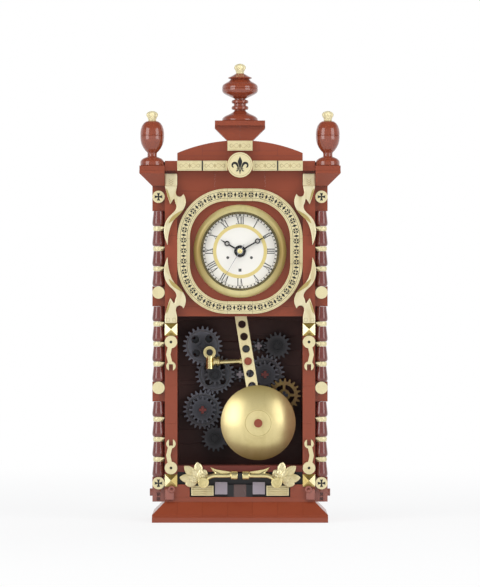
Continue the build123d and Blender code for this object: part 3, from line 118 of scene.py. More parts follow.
class ClockColours(bpy.types.PropertyGroup):
    """Colours of the plastics, the gilding, the dial and its print."""

    brown: colour("Brown", "Reddish brown bricks of the case", (0.258, 0.054, 0.024))
    barrel: colour("Barrel", "Dark red brown of the columns' barrels", (0.165, 0.036, 0.028))
    # Painted sheen: paler brown of the columns' feet, their clips and eyes, standing in for glossy
    # reflection
    foot: colour("Foot", "Paler brown of the columns' feet", (0.31, 0.110, 0.083))
    # Painted shade: darker brown of the sill, which lies in shadow under the window
    sill: colour("Sill", "Shaded brown of the sill", (0.150, 0.032, 0.022))
    back: colour("Back wall", "Very dark brown of the back wall", (0.078, 0.036, 0.031))
    # Painted shade: near-black colour of the tiles behind the columns and of the cornice's ends, where the
    # gaps lie in shadow
    shade: colour("Shade", "Dark brown tiles behind the columns", (0.030, 0.010, 0.008))
    black: colour("Black", "Black plastic", (0.011, 0.011, 0.013))
    gear_black: colour("Gear black", "Black of the pinions", (0.020, 0.021, 0.026))
    # Painted highlight on the teeth of the black pinions and wheels
    gear_black_lit_teeth: colour("Worn gear black", "Pinion teeth, paler where they rub", (0.085, 0.088, 0.102))
    cream: colour("Pale gold", "Pale side of the pearl gold trim", (0.77, 0.68, 0.40))
    deep_gold: colour("Deep gold", "Deep side of the pearl gold trim", (0.50, 0.38, 0.13))
    # Olive gold: painted shade on the scrolls' twists and the pyramids' upper facets; also streaks, the
    # escape wheel and the bob's turned line
    olive: colour("Olive gold", "Shaded twist of the scrolls", (0.36, 0.27, 0.07))
    bronze: colour("Bronze", "Skeleton escape wheel", (0.24, 0.15, 0.055))
    gold: colour("Gold", "Lacquered gold of the pendulum and the horns", (0.84, 0.72, 0.36))
    # Bob's deep colour: its streaks, and painted shade at its top and foot
    bob_streak_and_painted_shade: colour("Deep bob gold", "Shaded top and foot of the bob", (0.36, 0.26, 0.05))
    grey: colour("Dark grey", "Bluish grey of the large gears", (0.060, 0.065, 0.080))
    # Painted highlight on the teeth of the grey wheels
    grey_lit_teeth: colour("Worn grey", "Gear teeth, paler where they rub", (0.205, 0.217, 0.260))
    light_grey: colour("Light grey", "Pale tiles and two of the axles", (0.33, 0.29, 0.33))
    axle_red: colour("Axle red", "Red brown axles", (0.24, 0.035, 0.026))
    # Bezel colours: painted highlight above and below the dial, painted shade at its sides; the deep colour
    # also tints its streaks
    brass: colour("Brass", "Light fans of the bezel", (0.82, 0.74, 0.36))
    brass_streak_and_painted_shade: colour("Deep brass", "Dark fans of the bezel", (0.28, 0.185, 0.045))
    # Painted shadow: colour of the dark rings on the bezel's rim and round the dial's edge
    painted_shadow_ring: colour("Rim shadow", "Shaded lip inside the bezel", (0.115, 0.095, 0.035))
    gilt_print: colour("Gilt print", "Printed gilt ring on the dial", (0.62, 0.51, 0.19))
    dial: colour("Dial", "White lacquer of the dial", (0.70, 0.685, 0.64))
    ink: colour("Ink", "Black print", (0.008, 0.008, 0.009))
    dial_ink: colour("Dial ink", "Grey print of the dial", (0.060, 0.062, 0.058))
    faint_ink: colour("Faint ink", "Soft brown print on the gilt tiles", (0.52, 0.42, 0.21))
    steel: colour("Steel", "Second hand and battery cell", (0.42, 0.42, 0.43))


class ClockSizes(bpy.types.PropertyGroup):
    """Sizes of the print and of the softened edges."""

    case_edge: length("Case edge", "Rounding of the case bricks' edges", 0.07 * MM)
    brick_edge: length("Brick edge", "Rounding of the trim bricks' edges", 0.15 * MM)
    gear_edge: length("Gear edge", "Rounding of the gears' edges", 0.12 * MM)
    print_rise: length("Print rise", "How far printed ink stands proud", 0.04 * MM)
    numeral_foot: length("Numeral foot", "Radius where the numerals stand", 17.5 * MM)
    numeral_tall: length("Numeral height", "Height of the numerals", 4.4 * MM)
    track_r: length("Minute track", "Radius of the middle of the minute track", 23.1 * MM)
    gilt_ring_in: length("Gilt ring inside", "Inner radius of the dial's gilt ring", 15.1 * MM)
    gilt_ring_out: length("Gilt ring outside", "Outer radius of the dial's gilt ring", 17.3 * MM)


# Node helpers
def add(tree, kind, **values):
    """New node with its properties set."""
    made = tree.nodes.new(kind)
    for key, value in values.items():
        setattr(made, key, value)
    return made


def feed(tree, source, target):
    """Link a socket, or set a constant."""
    if isinstance(source, bpy.types.NodeSocket):
        tree.links.new(source, target)
    else:
        target.default_value = source


def arithmetic(tree, operation, a, b=0.0, c=0.0):
    """Math node's output."""
    made = add(tree, "ShaderNodeMath", operation=operation)
    for value, socket in zip((a, b, c), made.inputs):
        feed(tree, value, socket)
    return made.outputs[0]


# Places of the colour sockets on a Mix node
MIX_A, MIX_B, MIX_RESULT = 6, 7, 2


def blended(tree, factor, a, b):
    """Mix of two colours."""
    made = add(tree, "ShaderNodeMix", data_type="RGBA")
    feed(tree, factor, made.inputs["Factor"])
    feed(tree, a, made.inputs[MIX_A])
    feed(tree, b, made.inputs[MIX_B])
    return made.outputs[MIX_RESULT]


def spread(tree, value, low, high, out_low=0.0, out_high=1.0):
    """Map a range of a value onto another range, smoothly and clamped."""
    made = add(tree, "ShaderNodeMapRange", interpolation_type="SMOOTHSTEP", clamp=True)
    for item, socket in zip((value, low, high, out_low, out_high), made.inputs):
        feed(tree, item, socket)
    return made.outputs[0]


def noise(tree, scale, detail=2.0, stretch=(1.0, 1.0, 1.0), distortion=0.0):
    """Noise in the piece's own coordinates, scale in features per metre."""
    place = add(tree, "ShaderNodeTexCoord")
    mapped = add(tree, "ShaderNodeMapping")
    mapped.inputs["Scale"].default_value = stretch
    tree.links.new(place.outputs["Object"], mapped.inputs["Vector"])
    made = add(tree, "ShaderNodeTexNoise")
    tree.links.new(mapped.outputs[0], made.inputs["Vector"])
    feed(tree, scale, made.inputs["Scale"])
    made.inputs["Detail"].default_value = detail
    made.inputs["Distortion"].default_value = distortion
    return made.outputs["Fac"]


def new_group(name, inputs, outputs):
    """Empty shader group with named sockets; gives the tree and its two ends."""
    tree = bpy.data.node_groups.new(name, "ShaderNodeTree")
    for label, kind, value in inputs:
        socket = tree.interface.new_socket(label, in_out="INPUT", socket_type=kind)
        socket.default_value = value
    for label, kind in outputs:
        tree.interface.new_socket(label, in_out="OUTPUT", socket_type=kind)
    return tree, add(tree, "NodeGroupInput"), add(tree, "NodeGroupOutput")


FLOAT = "NodeSocketFloat"
COLOR = "NodeSocketColor"
VECTOR = "NodeSocketVector"
WHITE = (1.0, 1.0, 1.0, 1.0)
ORIGIN = (0.0, 0.0, 0.0)


def put_out(tree, out, **values):
    """Feed a group's named outputs."""
    for label, value in values.items():
        tree.links.new(value, out.inputs[label])
    return tree


# Shared effects: scales in features per metre, spans as lowest and highest value
CLOUD_SCALE = 70.0
SMEAR_SCALE = 210.0
SMEAR_DETAIL = 5.0
SMEAR_STRETCH = (1.0, 1.0, 0.45)
SMEAR_WARP = 0.6
SMEAR_SPAN = (0.42, 0.72)
PEEL_SCALE = 2600.0
STREAK_SCALE = 120.0
STREAK_DETAIL = 4.0
STREAK_STRETCH = (1.0, 1.0, 0.35)
STREAK_WARP = 1.4
STREAK_SPAN = (0.44, 0.74)
STREAK_ROUGH = 0.12
FLAKE_SCALE = 5200.0
FLAKE_SPAN = (0.3, 0.7)
FLAKE_LIFT = (0.93, 1.07)
# Shares of a wheel's radius over which its painted light runs from dark middle to pale teeth
TEETH_LIGHT_SPAN = (0.35, 0.9)
GROOVE_ROUGH = 0.1
ACROSS_AXIS = (1.0, 0.0, 1.0)


def moulding_marks():
    """Tone that drifts from brick to brick and over each face, handled gloss, fine mould texture."""
    tree, given, out = new_group(
        "moulding_marks",
        [("Colour", COLOR, WHITE), ("Drift", FLOAT, 0.1), ("Gloss", FLOAT, 0.25), ("Scuff", FLOAT, 0.1)],
        [("Colour", COLOR), ("Roughness", FLOAT), ("Height", FLOAT)])
    island = add(tree, "ShaderNodeNewGeometry").outputs["Random Per Island"]
    cloud = noise(tree, CLOUD_SCALE, detail=3.0)
    uneven = arithmetic(tree, "ADD", arithmetic(tree, "SUBTRACT", island, 0.5),
                        arithmetic(tree, "SUBTRACT", cloud, 0.5))
    tone = arithmetic(tree, "MULTIPLY_ADD", uneven, given.outputs["Drift"], 1.0)
    shade = add(tree, "ShaderNodeHueSaturation")
    feed(tree, given.outputs["Colour"], shade.inputs["Color"])
    feed(tree, tone, shade.inputs["Value"])
    smear = spread(tree, noise(tree, SMEAR_SCALE, SMEAR_DETAIL, SMEAR_STRETCH, SMEAR_WARP), *SMEAR_SPAN)
    rough = arithmetic(tree, "MULTIPLY_ADD", smear, given.outputs["Scuff"], given.outputs["Gloss"])
    peel = noise(tree, PEEL_SCALE)
    return put_out(tree, out, Colour=shade.outputs[0], Roughness=rough, Height=peel)


def pearl_flow():
    """Streaks of pale and deep gold, as pearl pigment settles while the mould fills."""
    tree, given, out = new_group(
        "pearl_flow",
        [("Pale", COLOR, WHITE), ("Deep", COLOR, WHITE), ("Depth", FLOAT, 0.5), ("Gloss", FLOAT, 0.3)],
        [("Colour", COLOR), ("Roughness", FLOAT), ("Height", FLOAT)])
    streak = noise(tree, STREAK_SCALE, STREAK_DETAIL, STREAK_STRETCH, STREAK_WARP)
    flake = noise(tree, FLAKE_SCALE, detail=1.0)
    share = arithmetic(tree, "MULTIPLY", spread(tree, streak, *STREAK_SPAN), given.outputs["Depth"])
    base = blended(tree, share, given.outputs["Pale"], given.outputs["Deep"])
    glitter = add(tree, "ShaderNodeHueSaturation")
    feed(tree, base, glitter.inputs["Color"])
    feed(tree, spread(tree, flake, *FLAKE_SPAN, *FLAKE_LIFT), glitter.inputs["Value"])
    rough = arithmetic(tree, "MULTIPLY_ADD", streak, STREAK_ROUGH, given.outputs["Gloss"])
    return put_out(tree, out, Colour=glitter.outputs[0], Roughness=rough, Height=flake)


def from_axis(tree, centre):
    """Offset and distance from a front-to-back axis, square to it."""
    offset = add(tree, "ShaderNodeVectorMath", operation="SUBTRACT")
    tree.links.new(add(tree, "ShaderNodeTexCoord").outputs["Object"], offset.inputs[0])
    tree.links.new(centre, offset.inputs[1])
    flat = add(tree, "ShaderNodeVectorMath", operation="MULTIPLY")
    tree.links.new(offset.outputs[0], flat.inputs[0])
    flat.inputs[1].default_value = ACROSS_AXIS
    radius = add(tree, "ShaderNodeVectorMath", operation="LENGTH")
    tree.links.new(flat.outputs[0], radius.inputs[0])
    return flat.outputs[0], radius.outputs["Value"]


def teeth_painted_light():
    """Colour of a wheel that runs paler out towards its teeth and darker towards its middle: painted
    highlight on the teeth, painted shade about the hub.
    """
    tree, given, out = new_group(
        "teeth_painted_light",
        [("Centre", VECTOR, ORIGIN), ("Reach", FLOAT, 0.01),
         ("Colour", COLOR, WHITE), ("Worn", COLOR, WHITE)],
        [("Colour", COLOR)])
    radius = from_axis(tree, given.outputs["Centre"])[1]
    share = spread(tree, arithmetic(tree, "DIVIDE", radius, given.outputs["Reach"]), *TEETH_LIGHT_SPAN)
    paled = blended(tree, share, given.outputs["Colour"], given.outputs["Worn"])
    return put_out(tree, out, Colour=paled)


def turned_rings():
    """Fine rings about a front-to-back axis, as left by spinning, and a mask that grows up and down from
    the axis, for painted light.
    """
    tree, given, out = new_group(
        "turned_rings",
        [("Centre", VECTOR, ORIGIN), ("Pitch", FLOAT, 0.0005),
         ("Gloss", FLOAT, 0.2), ("Reach", FLOAT, 0.03)],
        [("Roughness", FLOAT), ("Height", FLOAT), ("Fan", FLOAT)])
    flat, radius = from_axis(tree, given.outputs["Centre"])
    upright = add(tree, "ShaderNodeSeparateXYZ")
    tree.links.new(flat, upright.inputs[0])
    share = arithmetic(tree, "DIVIDE", upright.outputs["Z"], given.outputs["Reach"])
    painted_light_fan = arithmetic(tree, "MULTIPLY", share, share)
    turns = arithmetic(tree, "DIVIDE", radius, given.outputs["Pitch"])
    groove = add(tree, "ShaderNodeTexNoise", noise_dimensions="1D")
    tree.links.new(turns, groove.inputs["W"])
    groove.inputs["Scale"].default_value = 1.0
    fine = groove.outputs["Fac"]
    rough = arithmetic(tree, "MULTIPLY_ADD", fine, GROOVE_ROUGH, given.outputs["Gloss"])
    return put_out(tree, out, Roughness=rough, Height=fine, Fan=painted_light_fan)


GROUP_MAKERS = {maker.__name__: maker for maker in (moulding_marks, pearl_flow, turned_rings, teeth_painted_light)}
GROUPS = {}


def effect(tree, name, **values):
    """Place a shared effect in a material, building it the first time."""
    if name not in GROUPS:
        GROUPS[name] = GROUP_MAKERS[name]()
    made = add(tree, "ShaderNodeGroup", node_tree=GROUPS[name])
    for label, value in values.items():
        feed(tree, value, made.inputs[label])
    return made


# Finishes
COAT_ROUGH = 0.06
GILT_SHINE = 0.6
CRYSTAL_IOR = 1.05
PEEL_HIGH, RING_HIGH, INK_HIGH = 0.03 * MM, 0.01 * MM, 0.02 * MM
RING_BUMP, INK_BUMP = 0.02, 0.1
METAL_STREAKS = 0.15


def blank(name):
    """Material with a Principled shader and its output."""
    made = bpy.data.materials.new(name)
    made.use_nodes = True
    tree = made.node_tree
    tree.nodes.clear()
    shader = add(tree, "ShaderNodeBsdfPrincipled")
    tree.links.new(shader.outputs[0], add(tree, "ShaderNodeOutputMaterial").inputs["Surface"])
    return made, tree, shader


def rough_normal(tree, shader, height, strength, distance):
    """Bump from a height that varies over the surface."""
    bump = add(tree, "ShaderNodeBump")
    bump.inputs["Strength"].default_value = strength
    bump.inputs["Distance"].default_value = distance
    tree.links.new(height, bump.inputs["Height"])
    tree.links.new(bump.outputs[0], shader.inputs["Normal"])


def paint(tree, marks, shader):
    """Feed the shader's colour and roughness from a shared effect."""
    tree.links.new(marks.outputs["Colour"], shader.inputs["Base Color"])
    tree.links.new(marks.outputs["Roughness"], shader.inputs["Roughness"])


def opaque(rgb):
    """Colour with full alpha."""
    return (*rgb, 1.0)


def lighter(rgb, share):
    """Colour moved a share of the way to white."""
    return tuple(value + (1.0 - value) * share for value in rgb)


def plastic(name, rgb, gloss=0.2, drift=0.1, scuff=0.03, coat=0.0, shine=0.5, peel=0.02):
    """Moulded plastic: tone that drifts from brick to brick, and smudged gloss."""
    made, tree, shader = blank(name)
    marks = effect(tree, "moulding_marks", Colour=opaque(rgb), Drift=drift, Gloss=gloss, Scuff=scuff)
    paint(tree, marks, shader)
    shader.inputs["Specular IOR Level"].default_value = shine
    shader.inputs["Coat Weight"].default_value = coat
    shader.inputs["Coat Roughness"].default_value = COAT_ROUGH
    rough_normal(tree, shader, marks.outputs["Height"], peel, PEEL_HIGH)
    return made


def plastic_with_painted_teeth_light(name, rgb, lit_teeth, centre, reach):
    """Gear plastic with painted light: paler towards the teeth, darker about the hub."""
    made = plastic(name, rgb, gloss=0.3, shine=0.35)
    tree = made.node_tree
    marks = next(node for node in tree.nodes if node.type == "GROUP")
    teeth = effect(tree, "teeth_painted_light", Centre=centre, Reach=reach, Colour=opaque(rgb), Worn=opaque(lit_teeth))
    tree.links.new(teeth.outputs["Colour"], marks.inputs["Colour"])
    return made


def gilt(name, pale, deep, depth=0.5, gloss=0.3, metal=0.0, flake=0.06):
    """Pearl gold plastic or lacquer with settled streaks."""
    made, tree, shader = blank(name)
    flow = effect(tree, "pearl_flow", Pale=opaque(pale), Deep=opaque(deep), Depth=depth, Gloss=gloss)
    paint(tree, flow, shader)
    shader.inputs["Metallic"].default_value = metal
    shader.inputs["Specular IOR Level"].default_value = GILT_SHINE
    rough_normal(tree, shader, flow.outputs["Height"], flake, PEEL_HIGH)
    return made


def spun_metal(name, rgb, deep, centre, pitch, gloss, metal=1.0, reach=0.03, sides=0.0, ends=0.0):
    """Turned and polished metal or metallic lacquer, with rings about its centre, and painted light: its
    sides or its top and foot painted towards the deep colour as shade.
    """
    made, tree, shader = blank(name)
    rings = effect(tree, "turned_rings", Centre=centre, Pitch=pitch, Gloss=gloss, Reach=reach)
    flow = effect(tree, "pearl_flow", Pale=opaque(rgb), Deep=opaque(deep), Depth=METAL_STREAKS, Gloss=gloss)
    # Painted shade: towards the deep colour at the sides by the share sides, at the top and foot by the
    # share ends
    dark = arithmetic(tree, "MULTIPLY_ADD", rings.outputs["Fan"], ends - sides, sides)
    base = blended(tree, dark, flow.outputs["Colour"], opaque(deep))
    tree.links.new(base, shader.inputs["Base Color"])
    tree.links.new(rings.outputs["Roughness"], shader.inputs["Roughness"])
    shader.inputs["Metallic"].default_value = metal
    rough_normal(tree, shader, rings.outputs["Height"], RING_BUMP, RING_HIGH)
    return made


def printed(name, rgb, gloss=0.4):
    """Pad-printed ink, slightly uneven in tone and gloss."""
    made, tree, shader = blank(name)
    marks = effect(tree, "moulding_marks", Colour=opaque(rgb), Drift=0.3, Gloss=gloss, Scuff=0.2)
    paint(tree, marks, shader)
    rough_normal(tree, shader, marks.outputs["Height"], INK_BUMP, INK_HIGH)
    return made


def clear_glass(name):
    """Clear crystal whose faint smears only touch its gloss."""
    made, tree, shader = blank(name)
    marks = effect(tree, "moulding_marks", Colour=WHITE, Drift=0.02, Gloss=0.0, Scuff=0.03)
    tree.links.new(marks.outputs["Roughness"], shader.inputs["Roughness"])
    shader.inputs["Base Color"].default_value = WHITE
    shader.inputs["Transmission Weight"].default_value = 1.0
    shader.inputs["IOR"].default_value = CRYSTAL_IOR
    return made


FINISHES = {}


def finish(name):
    """The finish of that name, made once from the scene's colours."""
    if name not in FINISHES:
        FINISHES[name] = FINISH_MAKERS[name](bpy.context.scene.clock_colours)
    return FINISHES[name]


FINISH_MAKERS = {
    # Brown plastics
    "brown": lambda c: plastic("brown_plastic", c.brown, gloss=0.2),
    "turned_brown": lambda c: plastic(
        "turned_brown_plastic", c.brown, gloss=0.1, drift=0.06, coat=0.5, peel=0.003),
    "slope": lambda c: plastic("slope_plastic", c.brown, shine=0.12),
    "barrel": lambda c: plastic("barrel_plastic", c.barrel, gloss=0.1, drift=0.15, coat=0.5, peel=0.003),
    "foot": lambda c: plastic("foot_painted_sheen_plastic", c.foot, gloss=0.15),
    "sill": lambda c: plastic("sill_painted_shade_plastic", c.sill, gloss=0.3, shine=0.3),
    "dark_tile": lambda c: plastic("dark_tile_plastic", lighter(c.back, 0.03), gloss=0.25),
    "back": lambda c: plastic("back_wall_plastic", c.back, gloss=0.35, drift=0.4, shine=0.2),
    "shade": lambda c: plastic("painted_shade_plastic", c.shade, gloss=0.5, shine=0.15),
    # Black, grey and red plastics
    "black": lambda c: plastic("black_plastic", c.black, gloss=0.35),
    "gear_black": lambda c: plastic("gear_black_plastic", c.gear_black, gloss=0.3, shine=0.35),
    "grey": lambda c: plastic("grey_plastic", c.grey, gloss=0.3, shine=0.35),
    # Painted highlight: rims a little paler than the grey wheels they stand on
    "grey_rim_highlight": lambda c: plastic("grey_rim_painted_highlight", lighter(c.grey, 0.06), gloss=0.25),
    "light_grey": lambda c: plastic("light_grey_plastic", c.light_grey, gloss=0.25),
    "axle_red": lambda c: plastic("axle_plastic", c.axle_red, gloss=0.25),
    # Pearl gold and its shades
    "cream": lambda c: gilt("pearl_gold", c.cream, c.deep_gold, depth=0.22, gloss=0.3, metal=0.2),
    "ring": lambda c: gilt("pearl_gold_ring", c.cream, c.deep_gold, depth=0.4, gloss=0.32, metal=0.3),
    "flame": lambda c: gilt(
        "pearl_gold_scroll", lighter(c.cream, 0.1), c.deep_gold, depth=0.5, gloss=0.24, metal=0.3),
    "leaf": lambda c: gilt("pearl_gold_leaf", c.cream, c.deep_gold, depth=0.5, gloss=0.22, metal=0.4),
    "pyramid": lambda c: gilt("pearl_gold_facets", c.cream, c.deep_gold, depth=0.3, gloss=0.2, metal=0.6),
    # Painted light for the pyramid facets: golden painted reflection, olive painted shade
    "facet_painted_reflection": lambda c: gilt("painted_reflection_facets", c.deep_gold, c.olive, depth=0.3, gloss=0.2, metal=0.6),
    "facet_painted_shade": lambda c: gilt("painted_shade_facets", c.olive, c.bronze, depth=0.7, gloss=0.25, metal=0.7),
    # Painted shade on the scrolls' twists; also the bob's turned line
    "olive": lambda c: gilt("olive_gold", c.deep_gold, c.olive, depth=0.9, gloss=0.25, metal=0.4),
    # Gold, bronze and spun metals
    "gold": lambda c: gilt("gold_lacquer", c.gold, c.deep_gold, depth=0.4, gloss=0.16, metal=0.85),
    "rod_gold": lambda c: gilt(
        "rod_gold", lighter(c.gold, 0.12), c.deep_gold, depth=0.35, gloss=0.3, metal=0.35),
    "bronze": lambda c: gilt("escape_bronze", c.bronze, c.olive, depth=0.5, gloss=0.3, metal=0.5),
    # Bob: painted shade at its top and foot
    "bob": lambda c: spun_metal(
        "bob_gold", c.gold, c.bob_streak_and_painted_shade, tuple(BOB), pitch=0.2 * MM, gloss=0.28, metal=0.55,
        reach=BOB_R, ends=0.75),
    # Bezel: painted shade at its sides, painted highlight above and below
    "brass": lambda c: spun_metal(
        "bezel_brass", c.brass, c.brass_streak_and_painted_shade, tuple(DIAL), pitch=0.22 * MM, gloss=0.34, metal=0.4,
        reach=BEZEL_R, sides=0.95),
    # Painted shadow rings inside the bezel
    "painted_shadow_ring": lambda c: gilt("bezel_painted_shadow", c.painted_shadow_ring, c.bronze, depth=0.3, gloss=0.3, metal=0.4),
    "steel": lambda c: spun_metal(
        "cell_steel", c.steel, c.steel, tuple(middle("battery_cell")), pitch=0.2 * MM, gloss=0.22),
    # Dial, hands and print
    "dial": lambda c: plastic("dial_lacquer", c.dial, gloss=0.35, drift=0.03, scuff=0.05),
    "hand_black": lambda c: plastic("hand_lacquer", c.ink, gloss=0.25, drift=0.3),
    "dial_ink": lambda c: printed("dial_ink", c.dial_ink),
    "gilt_print": lambda c: gilt("gilt_print", c.gilt_print, c.deep_gold, depth=0.2, gloss=0.35, metal=0.2),
    "ink": lambda c: printed("black_ink", c.ink),
    "faint_ink": lambda c: printed("faint_ink", c.faint_ink),
    "glass": lambda c: clear_glass("crystal_glass"),
}


# Softened shading of the frame's nodes
SHARP_ANGLE = math.radians(30.0)
WELD_REACH = 0.001 * MM
FLOW_SHARE = 0.5


def shade_by_angle():
    """Geometry group that welds a node's faces and shades it smooth up to the sharp angle."""
    tree = bpy.data.node_groups.new("shade_by_angle", "GeometryNodeTree")
    tree.interface.new_socket("Geometry", in_out="INPUT", socket_type="NodeSocketGeometry")
    tree.interface.new_socket("Geometry", in_out="OUTPUT", socket_type="NodeSocketGeometry")
    weld = add(tree, "GeometryNodeMergeByDistance")
    weld.inputs["Distance"].default_value = WELD_REACH
    bare = add(tree, "GeometryNodeRemoveAttribute")
    bare.inputs["Name"].default_value = "custom_normal"
    faces = add(tree, "GeometryNodeSetShadeSmooth", domain="FACE")
    soft = add(tree, "GeometryNodeSetShadeSmooth", domain="EDGE")
    hard = add(tree, "GeometryNodeSetShadeSmooth", domain="EDGE")
    hard.inputs["Shade Smooth"].default_value = False
    angle = add(tree, "GeometryNodeInputMeshEdgeAngle").outputs["Unsigned Angle"]
    tree.links.new(arithmetic(tree, "GREATER_THAN", angle, SHARP_ANGLE), hard.inputs["Selection"])
    chain = [add(tree, "NodeGroupInput"), weld, bare, faces, soft, hard, add(tree, "NodeGroupOutput")]
    for before, after in zip(chain, chain[1:]):
        tree.links.new(before.outputs[0], after.inputs[0])
    return tree


def shading():
    """The shading group, built once."""
    return bpy.data.node_groups.get("shade_by_angle") or shade_by_angle()


def dress(name, look, edge=0.0, segments=2):
    """Give a node its finish, welded shading and rounded edges."""
    obj = frame["nodes"][name]
    obj.data.materials.clear()
    obj.data.materials.append(finish(look))
    obj.modifiers.new("shading", "NODES").node_group = shading()
    if edge:
        round_edges(obj, edge, segments)
    return obj


def round_edges(obj, edge, segments=2, hardened=True):
    """Round the sharp edges of a piece, its flat faces shaded flat if hardened."""
    bevel = obj.modifiers.new("rounded_edges", "BEVEL")
    bevel.width = edge
    bevel.segments = segments
    bevel.limit_method = "ANGLE"
    bevel.angle_limit = SHARP_ANGLE
    bevel.harden_normals = hardened


def repaint(name, look, test):
    """Give another finish to the faces of a node that pass the test."""
    data = frame["nodes"][name].data
    data.materials.append(finish(look))
    for face in data.polygons:
        if test(face):
            face.material_index = len(data.materials) - 1


def sculpt(name, look, grain, rounds):
    """Give a node its finish and melt its facets into flowing forms."""
    obj = dress(name, look)
    cells = obj.modifiers.new("cells", "REMESH")
    cells.mode = "VOXEL"
    cells.voxel_size = grain
    cells.use_smooth_shade = True
    flow = obj.modifiers.new("flow", "SMOOTH")
    flow.factor = FLOW_SHARE
    flow.iterations = rounds


# Outlines in the front plane, as (x, z) pairs
def moved(points, x, z):
    """Outline shifted."""
    return [(px + x, pz + z) for px, pz in points]


def turned(points, angle):
    """Outline turned about the origin, counterclockwise as seen from the front."""
    c, s = math.cos(angle), math.sin(angle)
    return [(c * x - s * z, s * x + c * z) for x, z in points]


def scaled(points, x, z):
    """Outline stretched."""
    return [(px * x, pz * z) for px, pz in points]


def circle(radius, steps):
    """Points on a circle about the origin."""
    angles = [2.0 * math.pi * i / steps for i in range(steps)]
    return [(radius * math.cos(angle), radius * math.sin(angle)) for angle in angles]


def eased(a, b, c, d, t):
    """Value a share t of the way from b to c, on a smooth run through all four."""
    slope = (c - a) * t
    bend = (2 * a - 5 * b + 4 * c - d) * t * t
    twist = (3 * b - a - 3 * c + d) * t ** 3
    return 0.5 * (2 * b + slope + bend + twist)


def curve(points, steps=5, closed=False):
    """Smooth line through the points."""
    count = len(points)
    line = []
    for i in range(count if closed else count - 1):
        near = [points[(i + k) % count] if closed else points[min(max(i + k, 0), count - 1)]
                for k in (-1, 0, 1, 2)]
        for step in range(steps):
            line.append(tuple(eased(*values, step / steps) for values in zip(*near)))
    return line if closed else line + [points[-1]]


def lens(long, half_wide, steps=6):
    """Pointed leaf shape from the origin along x."""
    upper = [(long * i / steps, half_wide * math.sin(math.pi * i / steps)) for i in range(steps + 1)]
    return upper[::-1] + [(x, -z) for x, z in upper[1:-1]]


def box_outline(half_wide, half_tall):
    """Rectangle about the origin."""
    return [(-half_wide, -half_tall), (half_wide, -half_tall),
            (half_wide, half_tall), (-half_wide, half_tall)]


def lozenge(half_wide, half_tall):
    """Diamond about the origin."""
    return [(half_wide, 0.0), (0.0, half_tall), (-half_wide, 0.0), (0.0, -half_tall)]


def both(points):
    """An outline and its mirror image across the upright axis."""
    return [points, [(-x, z) for x, z in points]]


def edges_of(points, width, closed):
    """The two sides of a band of even width along a line."""
    left, right = [], []
    last = len(points) - 1
    for i, (x, z) in enumerate(points):
        ax, az = points[i - 1] if closed or i else points[i]
        bx, bz = points[(i + 1) % len(points)] if closed or i < last else points[i]
        run = math.hypot(bx - ax, bz - az)
        nx, nz = -(bz - az) / run * width / 2, (bx - ax) / run * width / 2
        left.append((x + nx, z + nz))
        right.append((x - nx, z - nz))
    return left, right


# Added pieces
def piece(name, mesh, look, body, smooth=False):
    """Turn a bmesh into a named piece that rides on a body."""
    bmesh.ops.recalc_face_normals(mesh, faces=mesh.faces[:])
    data = bpy.data.meshes.new(name)
    mesh.to_mesh(data)
    mesh.free()
    data.materials.append(finish(look))
    if smooth:
        data.shade_smooth()
    obj = bpy.data.objects.new(name, data)
    bpy.context.scene.collection.objects.link(obj)
    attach(obj, body)
    return obj


def bridge(mesh, row, other):
    """Close the wall between two rings of as many points."""
    count = len(row)
    for i in range(count):
        j = (i + 1) % count
        mesh.faces.new((row[i], row[j], other[j], other[i]))


class Relief:
    """Thin raised shapes on planes that face the front."""

    def __init__(self, rise):
        self.mesh = bmesh.new()
        self.rise = rise

    def row(self, points, depth):
        """Points of an outline, at a depth."""
        return [self.mesh.verts.new((x, depth, z)) for x, z in points]

    def fill(self, points, face):
        """Closed outline, filled."""
        near = self.row(points, face - self.rise)
        far = self.row(points, face)
        self.mesh.faces.new(near)
        self.mesh.faces.new(far[::-1])
        bridge(self.mesh, far, near)

    def strip(self, points, width, face, closed=False):
        """Band of even width along a line."""
        left, right = edges_of(points, width, closed)
        near, far = face - self.rise, face
        rows = [self.row(left, near), self.row(right, near), self.row(right, far), self.row(left, far)]
        count = len(points)
        for i in range(count if closed else count - 1):
            j = (i + 1) % count
            for a, b in zip(rows, rows[1:] + rows[:1]):
                self.mesh.faces.new((a[i], b[i], b[j], a[j]))
        if not closed:
            for end in (0, -1):
                self.mesh.faces.new([line[end] for line in rows])

    def done(self, name, look, body):
        """The shapes as one piece."""
        return piece(name, self.mesh, look, body)


# Corners of turned pieces, by size
KNURL_ROUND, SMALL_ROUND, HUB_ROUND, COVER_ROUND = 8, 28, 32, 48
WEB_ROUND, BOB_ROUND, DIAL_ROUND = 64, 72, 96


def lathe(mesh, profile, centre, steps=SMALL_ROUND, placed=None):
    """Spin a closed (radius, depth) profile about a front-to-back axis, then place it if asked."""
    x, z = centre
    rows = []
    for i in range(steps):
        angle = 2.0 * math.pi * i / steps
        c, s = math.cos(angle), math.sin(angle)
        rows.append([mesh.verts.new((x + r * c, depth, z + r * s)) for r, depth in profile])
    made = [vert for row in rows for vert in row]
    for row, after in zip(rows, rows[1:] + rows[:1]):
        for a in range(len(profile)):
            b = (a + 1) % len(profile)
            if profile[a][0] or profile[b][0]:
                mesh.faces.new((row[a], row[b], after[b], after[a]))
    if placed:
        bmesh.ops.transform(mesh, matrix=placed, verts=made)
    bmesh.ops.remove_doubles(mesh, verts=made, dist=WELD_REACH)


def hoop(inner, outer, back, face, round_over):
    """Profile of a flat ring with softened front edges."""
    return [(inner, back), (inner, face + round_over), (inner + round_over, face),
            (outer - round_over, face), (outer, face + round_over), (outer, back)]


def button(radius, back, face, round_over):
    """Profile of a disc with a softened front edge."""
    return [(0.0, back), (0.0, face), (radius - round_over, face),
            (radius, face + round_over), (radius, back)]


